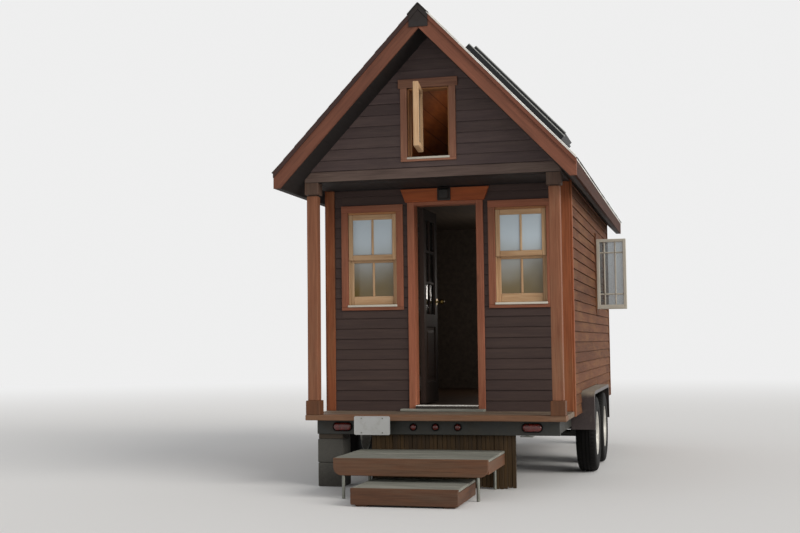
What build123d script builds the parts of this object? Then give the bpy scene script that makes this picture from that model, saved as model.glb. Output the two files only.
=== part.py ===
from build123d import *
import math
import os

# A tiny house on a two-axle trailer, in millimetres. The porch faces -Y, +Z is up, the ground is z = 0.
# The origin lies on the ground, in the middle of the whole part from the lower step to the coupler.

# House body
house_length = 4600
wall_half_width = 1075
wall_thickness = 110
porch_depth = 610
porch_height = 1936
deck_board_thickness = 45
deck_side_lap = 5
floor_build_up = 85
beam_height = 90
gable_thickness = 100
corner_board_width = 75
corner_board_thickness = 20

# Roof
eave_overhang = 157
eave_rise = 56
roof_rise = 1300
roof_depth = 133
fascia_height = 136
fascia_thickness = 22
front_overhang = 300
rear_overhang = 240
barge_thickness = 22
barge_joint = 1
ridge_cap_leg = 130
ridge_cap_thickness = 6
peak_plate_width = 156
peak_plate_height = 137
peak_plate_drop = 50
peak_plate_thickness = 8

# Porch posts
post_width = 89
post_edge_radius = 4
post_block_width = 118
post_block_height = 100
plinth_height = 118
post_inset = 60

# Trailer frame
frame_depth = 120
beam_width = 50
frame_side_setback = 85
rear_crossmember_inset = 60
rear_crossmember_setback = 120
crossmember_count = 7
tongue_length = 1150
tongue_beam_slant_width = 80
coupler_length = 240
coupler_width = 90
coupler_height = 85
coupler_ball_radius = 25.4
jack_setback = 420
jack_tube_radius = 30
jack_leg_radius = 24
jack_rise = 305
jack_foot_width = 160
jack_foot_thickness = 12
jack_plate_thickness = 8
jack_plate_depth = 90
jack_crank_reach = 150
jack_crank_radius = 8
jack_crank_drop = 16
jack_grip_length = 75
support_block_width = 230

# Lights and plate on the rear crossmember
oval_light_width = 170
oval_light_height = 75
oval_light_inset = 222
round_light_radius = 31
round_light_spacing = 186
light_drop = 57
light_thickness = 20
plate_width = 304.8
plate_height = 152.4
plate_thickness = 2
plate_centre_x = -505
plate_drop = 7

# Wheels and running gear
axle_position = 2045
axle_spacing = 850
tyre_radius = 345
tyre_width = 180
tyre_shoulder = 28
tyre_gap_to_frame = 20
rim_radius = 190
rim_well = 20
hub_radius = 55
hub_length = 95
disc_thickness = 8
disc_offset = 115
spindle_radius = 18
spindle_fit = 0.05
axle_tube_radius = 30
wheel_side_gap = 5
spring_pad_height = 35
spring_width = 50
spring_thickness = 22
spring_half_length = 330
spring_rise = 28
hanger_width = 60
hanger_height = 27

# Fenders
fender_top_gap = 53
fender_end_gap = 75
fender_side_gap = 8
fender_hem_rise = 60
fender_sheet = 4
fender_corner_radius = 80
fender_lip = 30

# Front door
door_opening_width = 546
door_head_drop = 156
door_sill_rise = 50
jamb_thickness = 20
casing_width = 61
casing_thickness = 22
door_gap = 6
door_latch_gap = 9
door_thickness = 40
door_stile = 90
door_bottom_rail = 180
door_mid_rail_rise = 680
door_mid_rail = 110
door_panel_thickness = 18
hinge_pin_radius = 5
hinge_pin_fit = 0.08
hinge_knuckle_radius = 9
hinge_knuckle_half = 24
hinge_half_height = 50
hinge_gap = 2
hinge_stand_off = 1
hinge_pin_inset = 3
leaf_edge_from_pin = 9
hinge_leaf_thickness = 3
hinge_leaf_width = 45
hinge_end_margin = 190
knob_radius = 26
knob_neck_radius = 11
knob_reach = 52
knob_rose_radius = 30
knob_rose_thickness = 6
knob_rise = 910
sill_nosing = 30
sill_plank_width = 730
sill_plank_centre_x = -28
sill_plank_depth = 98
sill_plank_thickness = 22
header_top_width = 780
header_bottom_width = 696
header_height = 114
header_gap = 30
header_thickness = 40

# Windows
window_height = 818
window_head_drop = 42
window_door_gap = 42
window_corner_gap = 64
sash_depth = 60
sash_proud = 10
sash_stile = 42
sash_top_rail = 42
meeting_rail = 55
sash_bottom_rail = 78
trim_width = 60
trim_thickness = 22
glass_thickness = 4
glass_fit = 0.2
gable_window_width = 350
gable_window_rise = 86
gable_window_head_gap = 232
gable_trim_width = 57
gable_sash_side_gap = 15
gable_sash_bottom_gap = 30
gable_sash_top_gap = 23
gable_sash_thickness = 45
gable_sash_slide = 115
gable_sash_angle = 83
gable_sash_clearance = 3
stay_width = 18
stay_thickness = 4
stay_reach = 170
side_window_hinge = 2950
side_window_width = 300
side_window_height = 724
side_window_head_drop = 146
side_sash_thickness = 36
side_sash_frame = 32

# Solar panels on the right slope
panel_length = 1160
panel_width = 540
panel_thickness = 50
first_panel_front = 450
panel_spacing = 90
panel_ridge_distances = (291, 151)
panel_lifts = (40, 95)
panel_rail_width = 40
panel_rail_inset = 210

# Steps and skirt in front of the porch
step_reach = 1000
upper_step_width = 1210
upper_step_depth = 600
upper_step_height = 132
upper_step_top = 310
upper_step_centre_x = -46
upper_step_radius = 68
lower_step_width = 804
lower_step_depth = 675
lower_step_height = 135
lower_step_centre_x = 8
step_foot_height = 14
step_foot_width = 90
step_foot_inset = 30
step_leg_radius = 13
step_leg_inset = 80
step_leg_setback = 17
skirt_width = 1209
skirt_centre_x = 47
skirt_thickness = 20
skirt_lap = 50

# How far a cut reaches past the faces that it opens
cut_over = 1

# Places along the length
porch_y = (step_reach - house_length - tongue_length) / 2
rear_y = porch_y + house_length
door_wall_y = porch_y + porch_depth
room_front_y = door_wall_y + wall_thickness
room_rear_y = rear_y - wall_thickness
crossmember_y = porch_y + rear_crossmember_setback
tongue_tip_y = rear_y + tongue_length
roof_front_y = porch_y - front_overhang
roof_rear_y = rear_y + rear_overhang
axle_ys = [porch_y + axle_position + side * axle_spacing / 2 for side in (-1, 1)]

# Places across the width
room_half_width = wall_half_width - wall_thickness
deck_half_width = wall_half_width + deck_side_lap
eave_half_width = wall_half_width + eave_overhang
frame_half_width = wall_half_width - frame_side_setback
rear_crossmember_half_width = wall_half_width - rear_crossmember_inset
oval_light_x = rear_crossmember_half_width - oval_light_inset
post_centre_x = wall_half_width - post_inset
tyre_inner_x = frame_half_width + tyre_gap_to_frame
fender_outer_x = tyre_inner_x + tyre_width + fender_side_gap
window_low_x = door_opening_width / 2 + casing_width + window_door_gap + trim_width
window_high_x = wall_half_width - corner_board_width - window_corner_gap - trim_width
window_width = window_high_x - window_low_x
window_centre_x = (window_low_x + window_high_x) / 2

# Heights, from the tyres up
axle_height = tyre_radius
fender_top = 2 * tyre_radius + fender_top_gap
fender_bottom = axle_height + fender_hem_rise
spring_seat = axle_height + spring_pad_height
frame_bottom = spring_seat + spring_rise + hanger_height
frame_top = frame_bottom + frame_depth
deck_top = frame_top + deck_board_thickness
floor_top = frame_top + floor_build_up
ceiling_height = deck_top + porch_height
loft_floor_top = ceiling_height + beam_height
door_sill_top = deck_top + door_sill_rise
door_head = ceiling_height - door_head_drop
window_bottom = door_head - window_head_drop - window_height
side_window_bottom = door_head - side_window_head_drop - side_window_height

# Roof
eave_top = ceiling_height + eave_rise
ridge_top = eave_top + roof_rise
roof_slope = roof_rise / eave_half_width
roof_angle = math.degrees(math.atan(roof_slope))
roof_plumb_depth = roof_depth * math.sqrt(1 + roof_slope ** 2)
soffit_height = eave_top - fascia_height


def roof_top_at(x):
    """Height of the roof's top surface at distance x from the ridge line."""
    return ridge_top - roof_slope * abs(x)


def roof_under_at(x):
    """Height of the roof's underside at distance x from the ridge line."""
    return roof_top_at(x) - roof_plumb_depth


gable_window_bottom = loft_floor_top + gable_window_rise
gable_window_top = roof_under_at(gable_window_width / 2) - gable_window_head_gap
gable_sash_x = -gable_window_width / 2 + gable_sash_slide


def box(x, y, z):
    """A block between the low and high value of each axis."""
    size = [high - low for low, high in (x, y, z)]
    middle = [(high + low) / 2 for low, high in (x, y, z)]
    return Pos(*middle) * Box(*size)


def prism_along_y(outline, y):
    """A prism with its (x, z) outline carried along Y."""
    face = make_face(Polyline(*[(px, y[0], pz) for px, pz in outline], close=True))
    return extrude(face, amount=y[1] - y[0], dir=(0, 1, 0))


def prism_along_x(outline, x):
    """A prism with its (y, z) outline carried along X."""
    face = make_face(Polyline(*[(x[0], py, pz) for py, pz in outline], close=True))
    return extrude(face, amount=x[1] - x[0], dir=(1, 0, 0))


def prism_along_z(outline, z):
    """A prism with its (x, y) outline carried along Z."""
    face = make_face(Polyline(*[(px, py, z[0]) for px, py in outline], close=True))
    return extrude(face, amount=z[1] - z[0], dir=(0, 0, 1))


def rod_along_x(radius, x, y, z):
    """A round bar along X from x[0] to x[1]."""
    return Pos((x[0] + x[1]) / 2, y, z) * Rot(0, 90, 0) * Cylinder(radius, x[1] - x[0])


def rod_along_y(radius, x, y, z):
    """A round bar along Y from y[0] to y[1]."""
    return Pos(x, (y[0] + y[1]) / 2, z) * Rot(90, 0, 0) * Cylinder(radius, y[1] - y[0])


def rod_along_z(radius, x, y, z):
    """A round bar along Z from z[0] to z[1]."""
    return Pos(x, y, (z[0] + z[1]) / 2) * Cylinder(radius, z[1] - z[0])


def mirrored(shape):
    """The same shape on the other side of the middle plane."""
    return mirror(shape, about=Plane.YZ)


def pair(shape):
    """A shape and its mirror image."""
    return [shape, mirrored(shape)]


def centred(middle, width):
    """The low and high value of a width about its middle."""
    return (middle - width / 2, middle + width / 2)


parts = {}


def keep(name, *shapes):
    """Keeps the solids of one node under its name."""
    solids = [solid for shape in shapes for solid in shape.solids()]
    parts[name] = solids[0] if len(solids) == 1 else Compound(solids)


# Trailer frame
def make_trailer_frame():
    frame_z = (frame_bottom, frame_top)
    beam_x = (frame_half_width - beam_width, frame_half_width)
    beams = box(beam_x, (crossmember_y + beam_width, rear_y), frame_z)
    keep("trailer_side_beams", *pair(beams))

    rear_x = (-rear_crossmember_half_width, rear_crossmember_half_width)
    keep("rear_crossmember", box(rear_x, (crossmember_y, crossmember_y + beam_width), frame_z))

    inner_x = (-frame_half_width + beam_width, frame_half_width - beam_width)
    first_y = room_front_y
    pitch = (rear_y - beam_width - first_y) / (crossmember_count - 1)
    bars = []
    for number in range(crossmember_count):
        bar_y = first_y + number * pitch
        bars.append(box(inner_x, (bar_y, bar_y + beam_width), frame_z))
    keep("trailer_crossmembers", *bars)


def make_tongue():
    """Two beams that run together from the frame to the coupler, which they hold between them."""
    half = coupler_width / 2
    coupler_y = (tongue_tip_y - coupler_length, tongue_tip_y)
    outline = [
        (frame_half_width, rear_y),
        (half + beam_width, tongue_tip_y - coupler_length / 2),
        (half, tongue_tip_y - coupler_length / 2),
        (half, coupler_y[0]),
        (frame_half_width - tongue_beam_slant_width, rear_y),
    ]
    beam = prism_along_z(outline, (frame_bottom, frame_top))
    keep("tongue_beams", *pair(beam))

    coupler_z = (frame_top - coupler_height, frame_top)
    nose_y = tongue_tip_y - half
    body = box((-half, half), (coupler_y[0], nose_y), coupler_z)
    nose = rod_along_z(half, 0, nose_y, coupler_z)
    socket = Pos(0, nose_y, coupler_z[0]) * Sphere(coupler_ball_radius)
    keep("coupler", body + nose - socket)


def make_jack():
    """A crank jack on a plate across the two tongue beams, with its foot on the ground."""
    y = tongue_tip_y - jack_setback
    plate_half = half_gap_of_tongue(y) + beam_width
    plate_z = (frame_top, frame_top + jack_plate_thickness)
    plate = box((-plate_half, plate_half), centred(y, jack_plate_depth), plate_z)
    jack_top = frame_top + jack_rise
    tube = rod_along_z(jack_tube_radius, 0, y, (frame_bottom, jack_top))
    leg = rod_along_z(jack_leg_radius, 0, y, (jack_foot_thickness, frame_bottom))
    foot = box(centred(0, jack_foot_width), centred(y, jack_foot_width), (0, jack_foot_thickness))
    crank_z = jack_top - jack_crank_drop
    crank = rod_along_x(jack_crank_radius, (0, jack_crank_reach), y, crank_z)
    grip_x = jack_crank_reach - jack_crank_radius
    grip = rod_along_z(jack_crank_radius, grip_x, y, (crank_z, crank_z + jack_grip_length))
    keep("tongue_jack", plate + tube + leg + foot + crank + grip)


def half_gap_of_tongue(y):
    """Half the distance between the tongue beams at y."""
    start = frame_half_width - tongue_beam_slant_width
    share = (y - rear_y) / (tongue_length - coupler_length)
    return start + (coupler_width / 2 - start) * share


def make_supports():
    """Block stacks under the frame: one at the porch's left corner, and one at each rear corner."""
    x = (rear_crossmember_half_width - support_block_width, rear_crossmember_half_width)
    rear_stack = box(x, (rear_y - support_block_width, rear_y), (0, frame_bottom))
    porch_y_span = (crossmember_y, crossmember_y + support_block_width)
    porch_stack = box((-x[1], -x[0]), porch_y_span, (0, frame_bottom))
    keep("support_blocks", porch_stack, *pair(rear_stack))


def make_lights():
    face_y = (crossmember_y - light_thickness, crossmember_y)
    slot = SlotOverall(oval_light_width, oval_light_height)
    oval = extrude(Plane.XZ * slot, amount=light_thickness)
    light_z = frame_top - light_drop
    oval = Pos(oval_light_x, crossmember_y, light_z) * oval
    rounds = []
    for number in (-1, 0, 1):
        rounds.append(rod_along_y(round_light_radius, number * round_light_spacing, face_y, light_z))
    keep("tail_lights", *pair(oval), *rounds)

    plate_top = deck_top - plate_drop
    plate_z = (plate_top - plate_height, plate_top)
    plate_y = (porch_y - plate_thickness, porch_y)
    keep("number_plate", box(centred(plate_centre_x, plate_width), plate_y, plate_z))


# Axles, springs and wheels
def make_axles():
    tube_x = tyre_inner_x - wheel_side_gap
    spindle_x = tyre_inner_x + hub_length - wheel_side_gap
    pad_z = (axle_height, spring_seat)
    axles = []
    for y in axle_ys:
        axle = rod_along_x(axle_tube_radius, (-tube_x, tube_x), y, axle_height)
        axle += rod_along_x(spindle_radius, (-spindle_x, spindle_x), y, axle_height)
        pad = box((frame_half_width - spring_width, frame_half_width), centred(y, hanger_width), pad_z)
        axles.append(axle + pad + mirrored(pad))
    keep("axles", *axles)


def make_springs():
    """A plain leaf on each axle pad, with its ends in hangers under the side beam."""
    x = (frame_half_width - spring_width, frame_half_width)
    eye_z = spring_seat + spring_rise
    hanger_z = (eye_z, frame_bottom)
    spring = []
    for y in axle_ys:
        low = [(y - spring_half_length, eye_z), (y, spring_seat), (y + spring_half_length, eye_z)]
        high = [(py, pz + spring_thickness) for py, pz in low]
        spring.append(prism_along_x(low + high[::-1], x))
    for y in (axle_ys[0] - spring_half_length, axle_ys[1] + spring_half_length):
        spring.append(box(x, centred(y, hanger_width), hanger_z))
    middle_gap = axle_spacing - 2 * spring_half_length
    spring.append(box(x, centred(sum(axle_ys) / 2, middle_gap + hanger_width), hanger_z))
    keep("leaf_springs", *pair(sum(spring[1:], spring[0])))


def make_wheel(number, y):
    """Tyre and pressed-steel rim with a bored hub, both turned about the axle."""
    middle_x = tyre_inner_x + tyre_width / 2
    half = tyre_width / 2
    tyre_outline = [
        (-half + tyre_shoulder / 2, rim_radius),
        (half - tyre_shoulder / 2, rim_radius),
        (half, rim_radius + tyre_shoulder),
        (half, tyre_radius - tyre_shoulder),
        (half - tyre_shoulder, tyre_radius),
        (-half + tyre_shoulder, tyre_radius),
        (-half, tyre_radius - tyre_shoulder),
        (-half, rim_radius + tyre_shoulder),
    ]
    bore = spindle_radius + spindle_fit
    inner = -half
    disc = inner + disc_offset
    cap = inner + hub_length
    lip = half - tyre_shoulder / 2
    rim_outline = [
        (inner, bore),
        (cap, bore),
        (cap, 0),
        (cap + disc_thickness, 0),
        (disc + disc_thickness, hub_radius),
        (disc + disc_thickness, rim_radius - rim_well),
        (lip, rim_radius - rim_well),
        (lip, rim_radius),
        (-lip, rim_radius),
        (-lip, rim_radius - rim_well),
        (disc, rim_radius - rim_well),
        (disc, hub_radius),
        (inner, hub_radius),
    ]
    for name, outline in (("tyre", tyre_outline), ("rim", rim_outline)):
        points = [(middle_x + px, y, axle_height + pr) for px, pr in outline]
        face = make_face(Polyline(*points, close=True))
        wheel = revolve(face, axis=Axis((0, y, axle_height), (1, 0, 0)))
        keep(f"right_{name}_{number}", wheel)
        keep(f"left_{name}_{number}", mirrored(wheel))


def fender_outline(inset):
    """Arch outline of the fender in (y, z), drawn inward by the inset."""
    low_y = axle_ys[0] - tyre_radius - fender_end_gap + inset
    high_y = axle_ys[1] + tyre_radius + fender_end_gap - inset
    top = fender_top - inset
    radius = fender_corner_radius - inset
    arc = radius * (1 - math.cos(math.pi / 4))
    return Wire([
        Line((0, low_y, fender_bottom), (0, low_y, top - radius)),
        ThreePointArc((0, low_y, top - radius), (0, low_y + arc, top - arc), (0, low_y + radius, top)),
        Line((0, low_y + radius, top), (0, high_y - radius, top)),
        ThreePointArc((0, high_y - radius, top), (0, high_y - arc, top - arc), (0, high_y, top - radius)),
        Line((0, high_y, top - radius), (0, high_y, fender_bottom)),
        Line((0, high_y, fender_bottom), (0, low_y, fender_bottom)),
    ])


def fender_prism(inset, x):
    """The solid arch between two X values."""
    face = make_face(fender_outline(inset))
    return Pos(x[0], 0, 0) * extrude(face, amount=x[1] - x[0], dir=(1, 0, 0))


def make_fenders():
    shell = fender_prism(0, (frame_half_width, fender_outer_x))
    shell -= fender_prism(fender_sheet, (frame_half_width - cut_over, fender_outer_x - fender_sheet))
    shell -= fender_prism(fender_lip, (frame_half_width, fender_outer_x + cut_over))
    keep("fenders", *pair(shell))


# Floors and walls
def make_floors():
    deck = box((-deck_half_width, deck_half_width), (porch_y, door_wall_y), (frame_top, deck_top))
    keep("porch_deck", deck)
    room_x = (-room_half_width, room_half_width)
    keep("house_floor", box(room_x, (room_front_y, room_rear_y), (frame_top, floor_top)))
    loft = box(room_x, (porch_y + gable_thickness, room_rear_y), (ceiling_height, loft_floor_top))
    keep("loft_floor", loft)


def make_side_walls():
    outline = [
        (wall_half_width, frame_top),
        (wall_half_width, roof_under_at(wall_half_width)),
        (room_half_width, roof_under_at(room_half_width)),
        (room_half_width, frame_top),
    ]
    wall = prism_along_y(outline, (door_wall_y, rear_y))
    wall -= fender_prism(0, (frame_half_width, wall_half_width + cut_over))
    wall -= side_window_box(past((room_half_width, wall_half_width)), 0)
    keep("right_wall", wall)
    keep("left_wall", mirrored(wall))


def past(span):
    """A span made longer at both ends, so that a cut goes right through."""
    return (span[0] - cut_over, span[1] + cut_over)


def side_window_box(x, grow):
    """The side window's opening as a block, made larger all round by grow."""
    y_low = porch_y + side_window_hinge
    y = (y_low - grow, y_low + side_window_width + grow)
    z = (side_window_bottom - grow, side_window_bottom + side_window_height + grow)
    return box(x, y, z)


def window_box(centre_x, y, grow):
    """A double-hung window's opening as a block, made larger all round by grow."""
    x = centred(centre_x, window_width + 2 * grow)
    return box(x, y, (window_bottom - grow, window_bottom + window_height + grow))


def gable_window_box(y, grow):
    """A gable window's opening as a block, made larger all round by grow."""
    x = centred(0, gable_window_width + 2 * grow)
    return box(x, y, (gable_window_bottom - grow, gable_window_top + grow))


def make_front_walls():
    y = (door_wall_y, room_front_y)
    rough_half = door_opening_width / 2 + jamb_thickness
    right = box((rough_half, room_half_width), y, (frame_top, ceiling_height))
    right -= window_box(window_centre_x, y, 0)
    keep("front_wall_right", right)
    keep("front_wall_left", mirrored(right))
    header_z = (door_head + jamb_thickness, ceiling_height)
    keep("front_wall_header", box((-rough_half, rough_half), y, header_z))


def gable_outline(bottom, half_width):
    """Outline in (x, z) of what fills the gable above a height, up to the roof's underside."""
    corner_z = roof_under_at(half_width)
    if corner_z < bottom:
        half_width = (ridge_top - roof_plumb_depth - bottom) / roof_slope
        return [(-half_width, bottom), (half_width, bottom), (0, roof_under_at(0))]
    return [
        (-half_width, bottom),
        (half_width, bottom),
        (half_width, corner_z),
        (0, roof_under_at(0)),
        (-half_width, corner_z),
    ]


def make_gables():
    front_y = (porch_y, porch_y + gable_thickness)
    front = prism_along_y(gable_outline(loft_floor_top, wall_half_width), front_y)
    keep("front_gable", front - gable_window_box(front_y, 0))

    rear_wall_y = (room_rear_y, rear_y)
    lower = box((-room_half_width, room_half_width), rear_wall_y, (frame_top, loft_floor_top))
    keep("rear_wall", lower - window_box(0, rear_wall_y, 0))
    upper = prism_along_y(gable_outline(loft_floor_top, room_half_width), rear_wall_y)
    keep("rear_gable", upper - gable_window_box(rear_wall_y, 0))


def make_corner_boards():
    """Upright boards over the wall corners, front and rear."""
    x = (wall_half_width - corner_board_width, wall_half_width)
    front_y = (door_wall_y - corner_board_thickness, door_wall_y)
    rear_board_y = (rear_y, rear_y + corner_board_thickness)
    front = box(x, front_y, (deck_top, ceiling_height))
    rear = box(x, rear_board_y, (frame_top, ceiling_height))
    keep("corner_boards", *pair(front), *pair(rear))


# Porch posts and beams
def make_porch():
    centre_y = porch_y + post_block_width / 2
    block_bottom = ceiling_height - post_block_height
    plinth_top = deck_top + plinth_height
    block_x = centred(post_centre_x, post_block_width)
    block_y = (porch_y, porch_y + post_block_width)
    post_z = (plinth_top, block_bottom)
    post = box(centred(post_centre_x, post_width), centred(centre_y, post_width), post_z)
    post = fillet(post.edges().filter_by(Axis.Z), post_edge_radius)
    keep("porch_posts", *pair(post))
    capital = box(block_x, block_y, (block_bottom, ceiling_height))
    plinth = box(block_x, block_y, (deck_top, plinth_top))
    keep("post_blocks", *pair(capital), *pair(plinth))

    front_y = (porch_y, porch_y + gable_thickness)
    keep("porch_front_beam", prism_along_y(beam_outline(), front_y))
    side_outline = [
        (room_half_width, ceiling_height),
        (wall_half_width, ceiling_height),
        (wall_half_width, roof_under_at(wall_half_width)),
        (room_half_width, roof_under_at(room_half_width)),
    ]
    side = prism_along_y(side_outline, (porch_y + gable_thickness, door_wall_y))
    keep("porch_side_beams", *pair(side))


def beam_outline():
    """Outline in (x, z) of the front beam, cut by the roof's underside where that is lower."""
    top_half = min(wall_half_width, (ridge_top - roof_plumb_depth - loft_floor_top) / roof_slope)
    side_top = min(loft_floor_top, roof_under_at(wall_half_width))
    half_outline = [
        (wall_half_width, ceiling_height),
        (wall_half_width, side_top),
        (top_half, loft_floor_top),
    ]
    return half_outline + [(-px, pz) for px, pz in half_outline[::-1]]


# Roof
def make_roof():
    slab_edge = eave_half_width - fascia_thickness
    level_x = (ridge_top - roof_plumb_depth - soffit_height) / roof_slope
    slab_outline = [
        (0, ridge_top),
        (slab_edge, roof_top_at(slab_edge)),
        (slab_edge, soffit_height),
        (level_x, soffit_height),
        (0, roof_under_at(0)),
    ]
    roof = prism_along_y(slab_outline, (roof_front_y, roof_rear_y))
    keep("right_roof", roof)
    keep("left_roof", mirrored(roof))

    fascia_outline = [
        (slab_edge, roof_top_at(slab_edge)),
        (eave_half_width, eave_top),
        (eave_half_width, soffit_height),
        (slab_edge, soffit_height),
    ]
    keep("eave_fascias", *pair(prism_along_y(fascia_outline, (roof_front_y, roof_rear_y))))

    joint = barge_joint / 2
    barge_outline = [
        (joint, roof_top_at(joint)),
        (eave_half_width, eave_top),
        (eave_half_width, soffit_height),
        (level_x, soffit_height),
        (joint, roof_under_at(joint)),
    ]
    front = prism_along_y(barge_outline, (roof_front_y - barge_thickness, roof_front_y))
    rear = prism_along_y(barge_outline, (roof_rear_y, roof_rear_y + barge_thickness))
    keep("rake_boards", *pair(front), *pair(rear))

    leg_x = ridge_cap_leg * math.cos(math.radians(roof_angle))
    cap_rise = ridge_cap_thickness / math.cos(math.radians(roof_angle))
    cap_outline = [
        (0, ridge_top),
        (leg_x, roof_top_at(leg_x)),
        (leg_x, roof_top_at(leg_x) + cap_rise),
        (0, ridge_top + cap_rise),
        (-leg_x, roof_top_at(leg_x) + cap_rise),
        (-leg_x, roof_top_at(leg_x)),
    ]
    cap_y = (roof_front_y - barge_thickness, roof_rear_y + barge_thickness)
    keep("ridge_cap", prism_along_y(cap_outline, cap_y))

    plate_top_z = ridge_top - peak_plate_drop
    plate_bottom_z = plate_top_z - peak_plate_height
    half = peak_plate_width / 2
    shoulder_z = plate_top_z - half * roof_slope
    plate_outline = [
        (0, plate_top_z),
        (half, shoulder_z),
        (half, plate_bottom_z),
        (-half, plate_bottom_z),
        (-half, shoulder_z),
    ]
    plate_face_y = roof_front_y - barge_thickness
    keep("peak_plate", prism_along_y(plate_outline, (plate_face_y - peak_plate_thickness, plate_face_y)))


def on_right_slope(distance, lift):
    """The (x, z) point at a distance down the slope from the ridge and a lift square to it."""
    turn = math.radians(roof_angle)
    x = distance * math.cos(turn) + lift * math.sin(turn)
    z = ridge_top - distance * math.sin(turn) + lift * math.cos(turn)
    return (x, z)


def slope_block(distance, lift, y):
    """A block lying on the right slope between two distances and two lifts."""
    near, far = distance
    low, high = lift
    corners = [(near, low), (far, low), (far, high), (near, high)]
    return prism_along_y([on_right_slope(*corner) for corner in corners], y)


def make_solar_panels():
    panels = []
    rails = []
    y_low = porch_y + first_panel_front
    for start, lift in zip(panel_ridge_distances, panel_lifts):
        span = (start, start + panel_length)
        y = (y_low, y_low + panel_width)
        panels.append(slope_block(span, (lift, lift + panel_thickness), y))
        rail_starts = (span[0] + panel_rail_inset, span[1] - panel_rail_inset - panel_rail_width)
        for rail_start in rail_starts:
            rails.append(slope_block((rail_start, rail_start + panel_rail_width), (0, lift), y))
        y_low += panel_width + panel_spacing
    keep("solar_panels", *panels)
    keep("panel_rails", *rails)


# Front door, standing open into the room
hinge_x = -door_opening_width / 2 - hinge_pin_inset
hinge_y = room_front_y + hinge_knuckle_radius + hinge_stand_off
leaf_back_y = hinge_y + leaf_edge_from_pin
leaf_front_y = leaf_back_y + door_opening_width - door_gap - door_latch_gap
leaf_low_x = hinge_x + hinge_knuckle_radius + hinge_stand_off
leaf_x = (leaf_low_x, leaf_low_x + door_thickness)
leaf_z = (door_sill_top + door_gap, door_head - door_gap)
mid_rail_bottom = door_sill_top + door_mid_rail_rise
knob_height = door_sill_top + knob_rise
hinge_heights = [leaf_z[0] + hinge_end_margin, sum(leaf_z) / 2, leaf_z[1] - hinge_end_margin]


def make_door():
    leaf = box(leaf_x, (leaf_back_y, leaf_front_y), leaf_z)
    glazed_y = (leaf_back_y + door_stile, leaf_front_y - door_stile)
    glazed_z = (mid_rail_bottom + door_mid_rail, leaf_z[1] - door_stile)
    leaf -= box(past(leaf_x), glazed_y, glazed_z)
    panel_z = (leaf_z[0] + door_bottom_rail, mid_rail_bottom)
    recess = (door_thickness - door_panel_thickness) / 2
    leaf -= box((leaf_x[0] - cut_over, leaf_x[0] + recess), glazed_y, panel_z)
    leaf -= box((leaf_x[1] - recess, leaf_x[1] + cut_over), glazed_y, panel_z)
    for z in hinge_heights:
        knuckle_z = (z - hinge_knuckle_half, z + hinge_knuckle_half)
        strap_x = (leaf_x[0] - hinge_leaf_thickness, leaf_x[0])
        knuckle = rod_along_z(hinge_knuckle_radius, hinge_x, hinge_y, knuckle_z)
        strap = box(strap_x, (hinge_y, hinge_y + hinge_leaf_width), knuckle_z)
        bore = rod_along_z(hinge_pin_radius + hinge_pin_fit, hinge_x, hinge_y, knuckle_z)
        leaf += knuckle + strap - bore
    keep("door_leaf", leaf)

    middle_x = sum(leaf_x) / 2
    pane_y = (glazed_y[0] + glass_fit, glazed_y[1] - glass_fit)
    pane_z = (glazed_z[0] + glass_fit, glazed_z[1] - glass_fit)
    keep("door_glass", box(centred(middle_x, glass_thickness), pane_y, pane_z))

    knob_y = leaf_front_y - door_stile / 2
    keep("door_knobs", door_knob(leaf_x[1], 1, knob_y), door_knob(leaf_x[0], -1, knob_y))


def door_knob(face_x, way, y):
    """A turned knob on one face of the leaf: rose, neck and ball in one outline."""
    ball_start = knob_reach - math.sqrt(knob_radius ** 2 - knob_neck_radius ** 2)
    ball_end = knob_reach + knob_radius

    def at(reach, radius):
        return (face_x + way * reach, y, knob_height + radius)

    outline = Wire([
        Line(at(0, 0), at(0, knob_rose_radius)),
        Line(at(0, knob_rose_radius), at(knob_rose_thickness, knob_rose_radius)),
        Line(at(knob_rose_thickness, knob_rose_radius), at(knob_rose_thickness, knob_neck_radius)),
        Line(at(knob_rose_thickness, knob_neck_radius), at(ball_start, knob_neck_radius)),
        ThreePointArc(at(ball_start, knob_neck_radius), at(knob_reach, knob_radius), at(ball_end, 0)),
        Line(at(ball_end, 0), at(0, 0)),
    ])
    return revolve(make_face(outline), axis=Axis((0, y, knob_height), (1, 0, 0)))


def make_hinges():
    """Fixed hinge halves: two knuckles and a pin on straps against the wall's inner face."""
    hinges = []
    strap_x = (hinge_x - hinge_leaf_width, hinge_x)
    strap_y = (room_front_y, room_front_y + hinge_leaf_thickness)
    inner = hinge_knuckle_half + hinge_gap
    for z in hinge_heights:
        hinge_z = (z - hinge_half_height, z + hinge_half_height)
        hinge = rod_along_z(hinge_pin_radius, hinge_x, hinge_y, hinge_z)
        for knuckle_z in ((hinge_z[0], z - inner), (z + inner, hinge_z[1])):
            hinge += rod_along_z(hinge_knuckle_radius, hinge_x, hinge_y, knuckle_z)
            hinge += box(strap_x, strap_y, knuckle_z)
            hinge += box((hinge_x - hinge_knuckle_radius, hinge_x), (room_front_y, hinge_y), knuckle_z)
        hinges.append(hinge)
    keep("door_hinges", *hinges)


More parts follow.
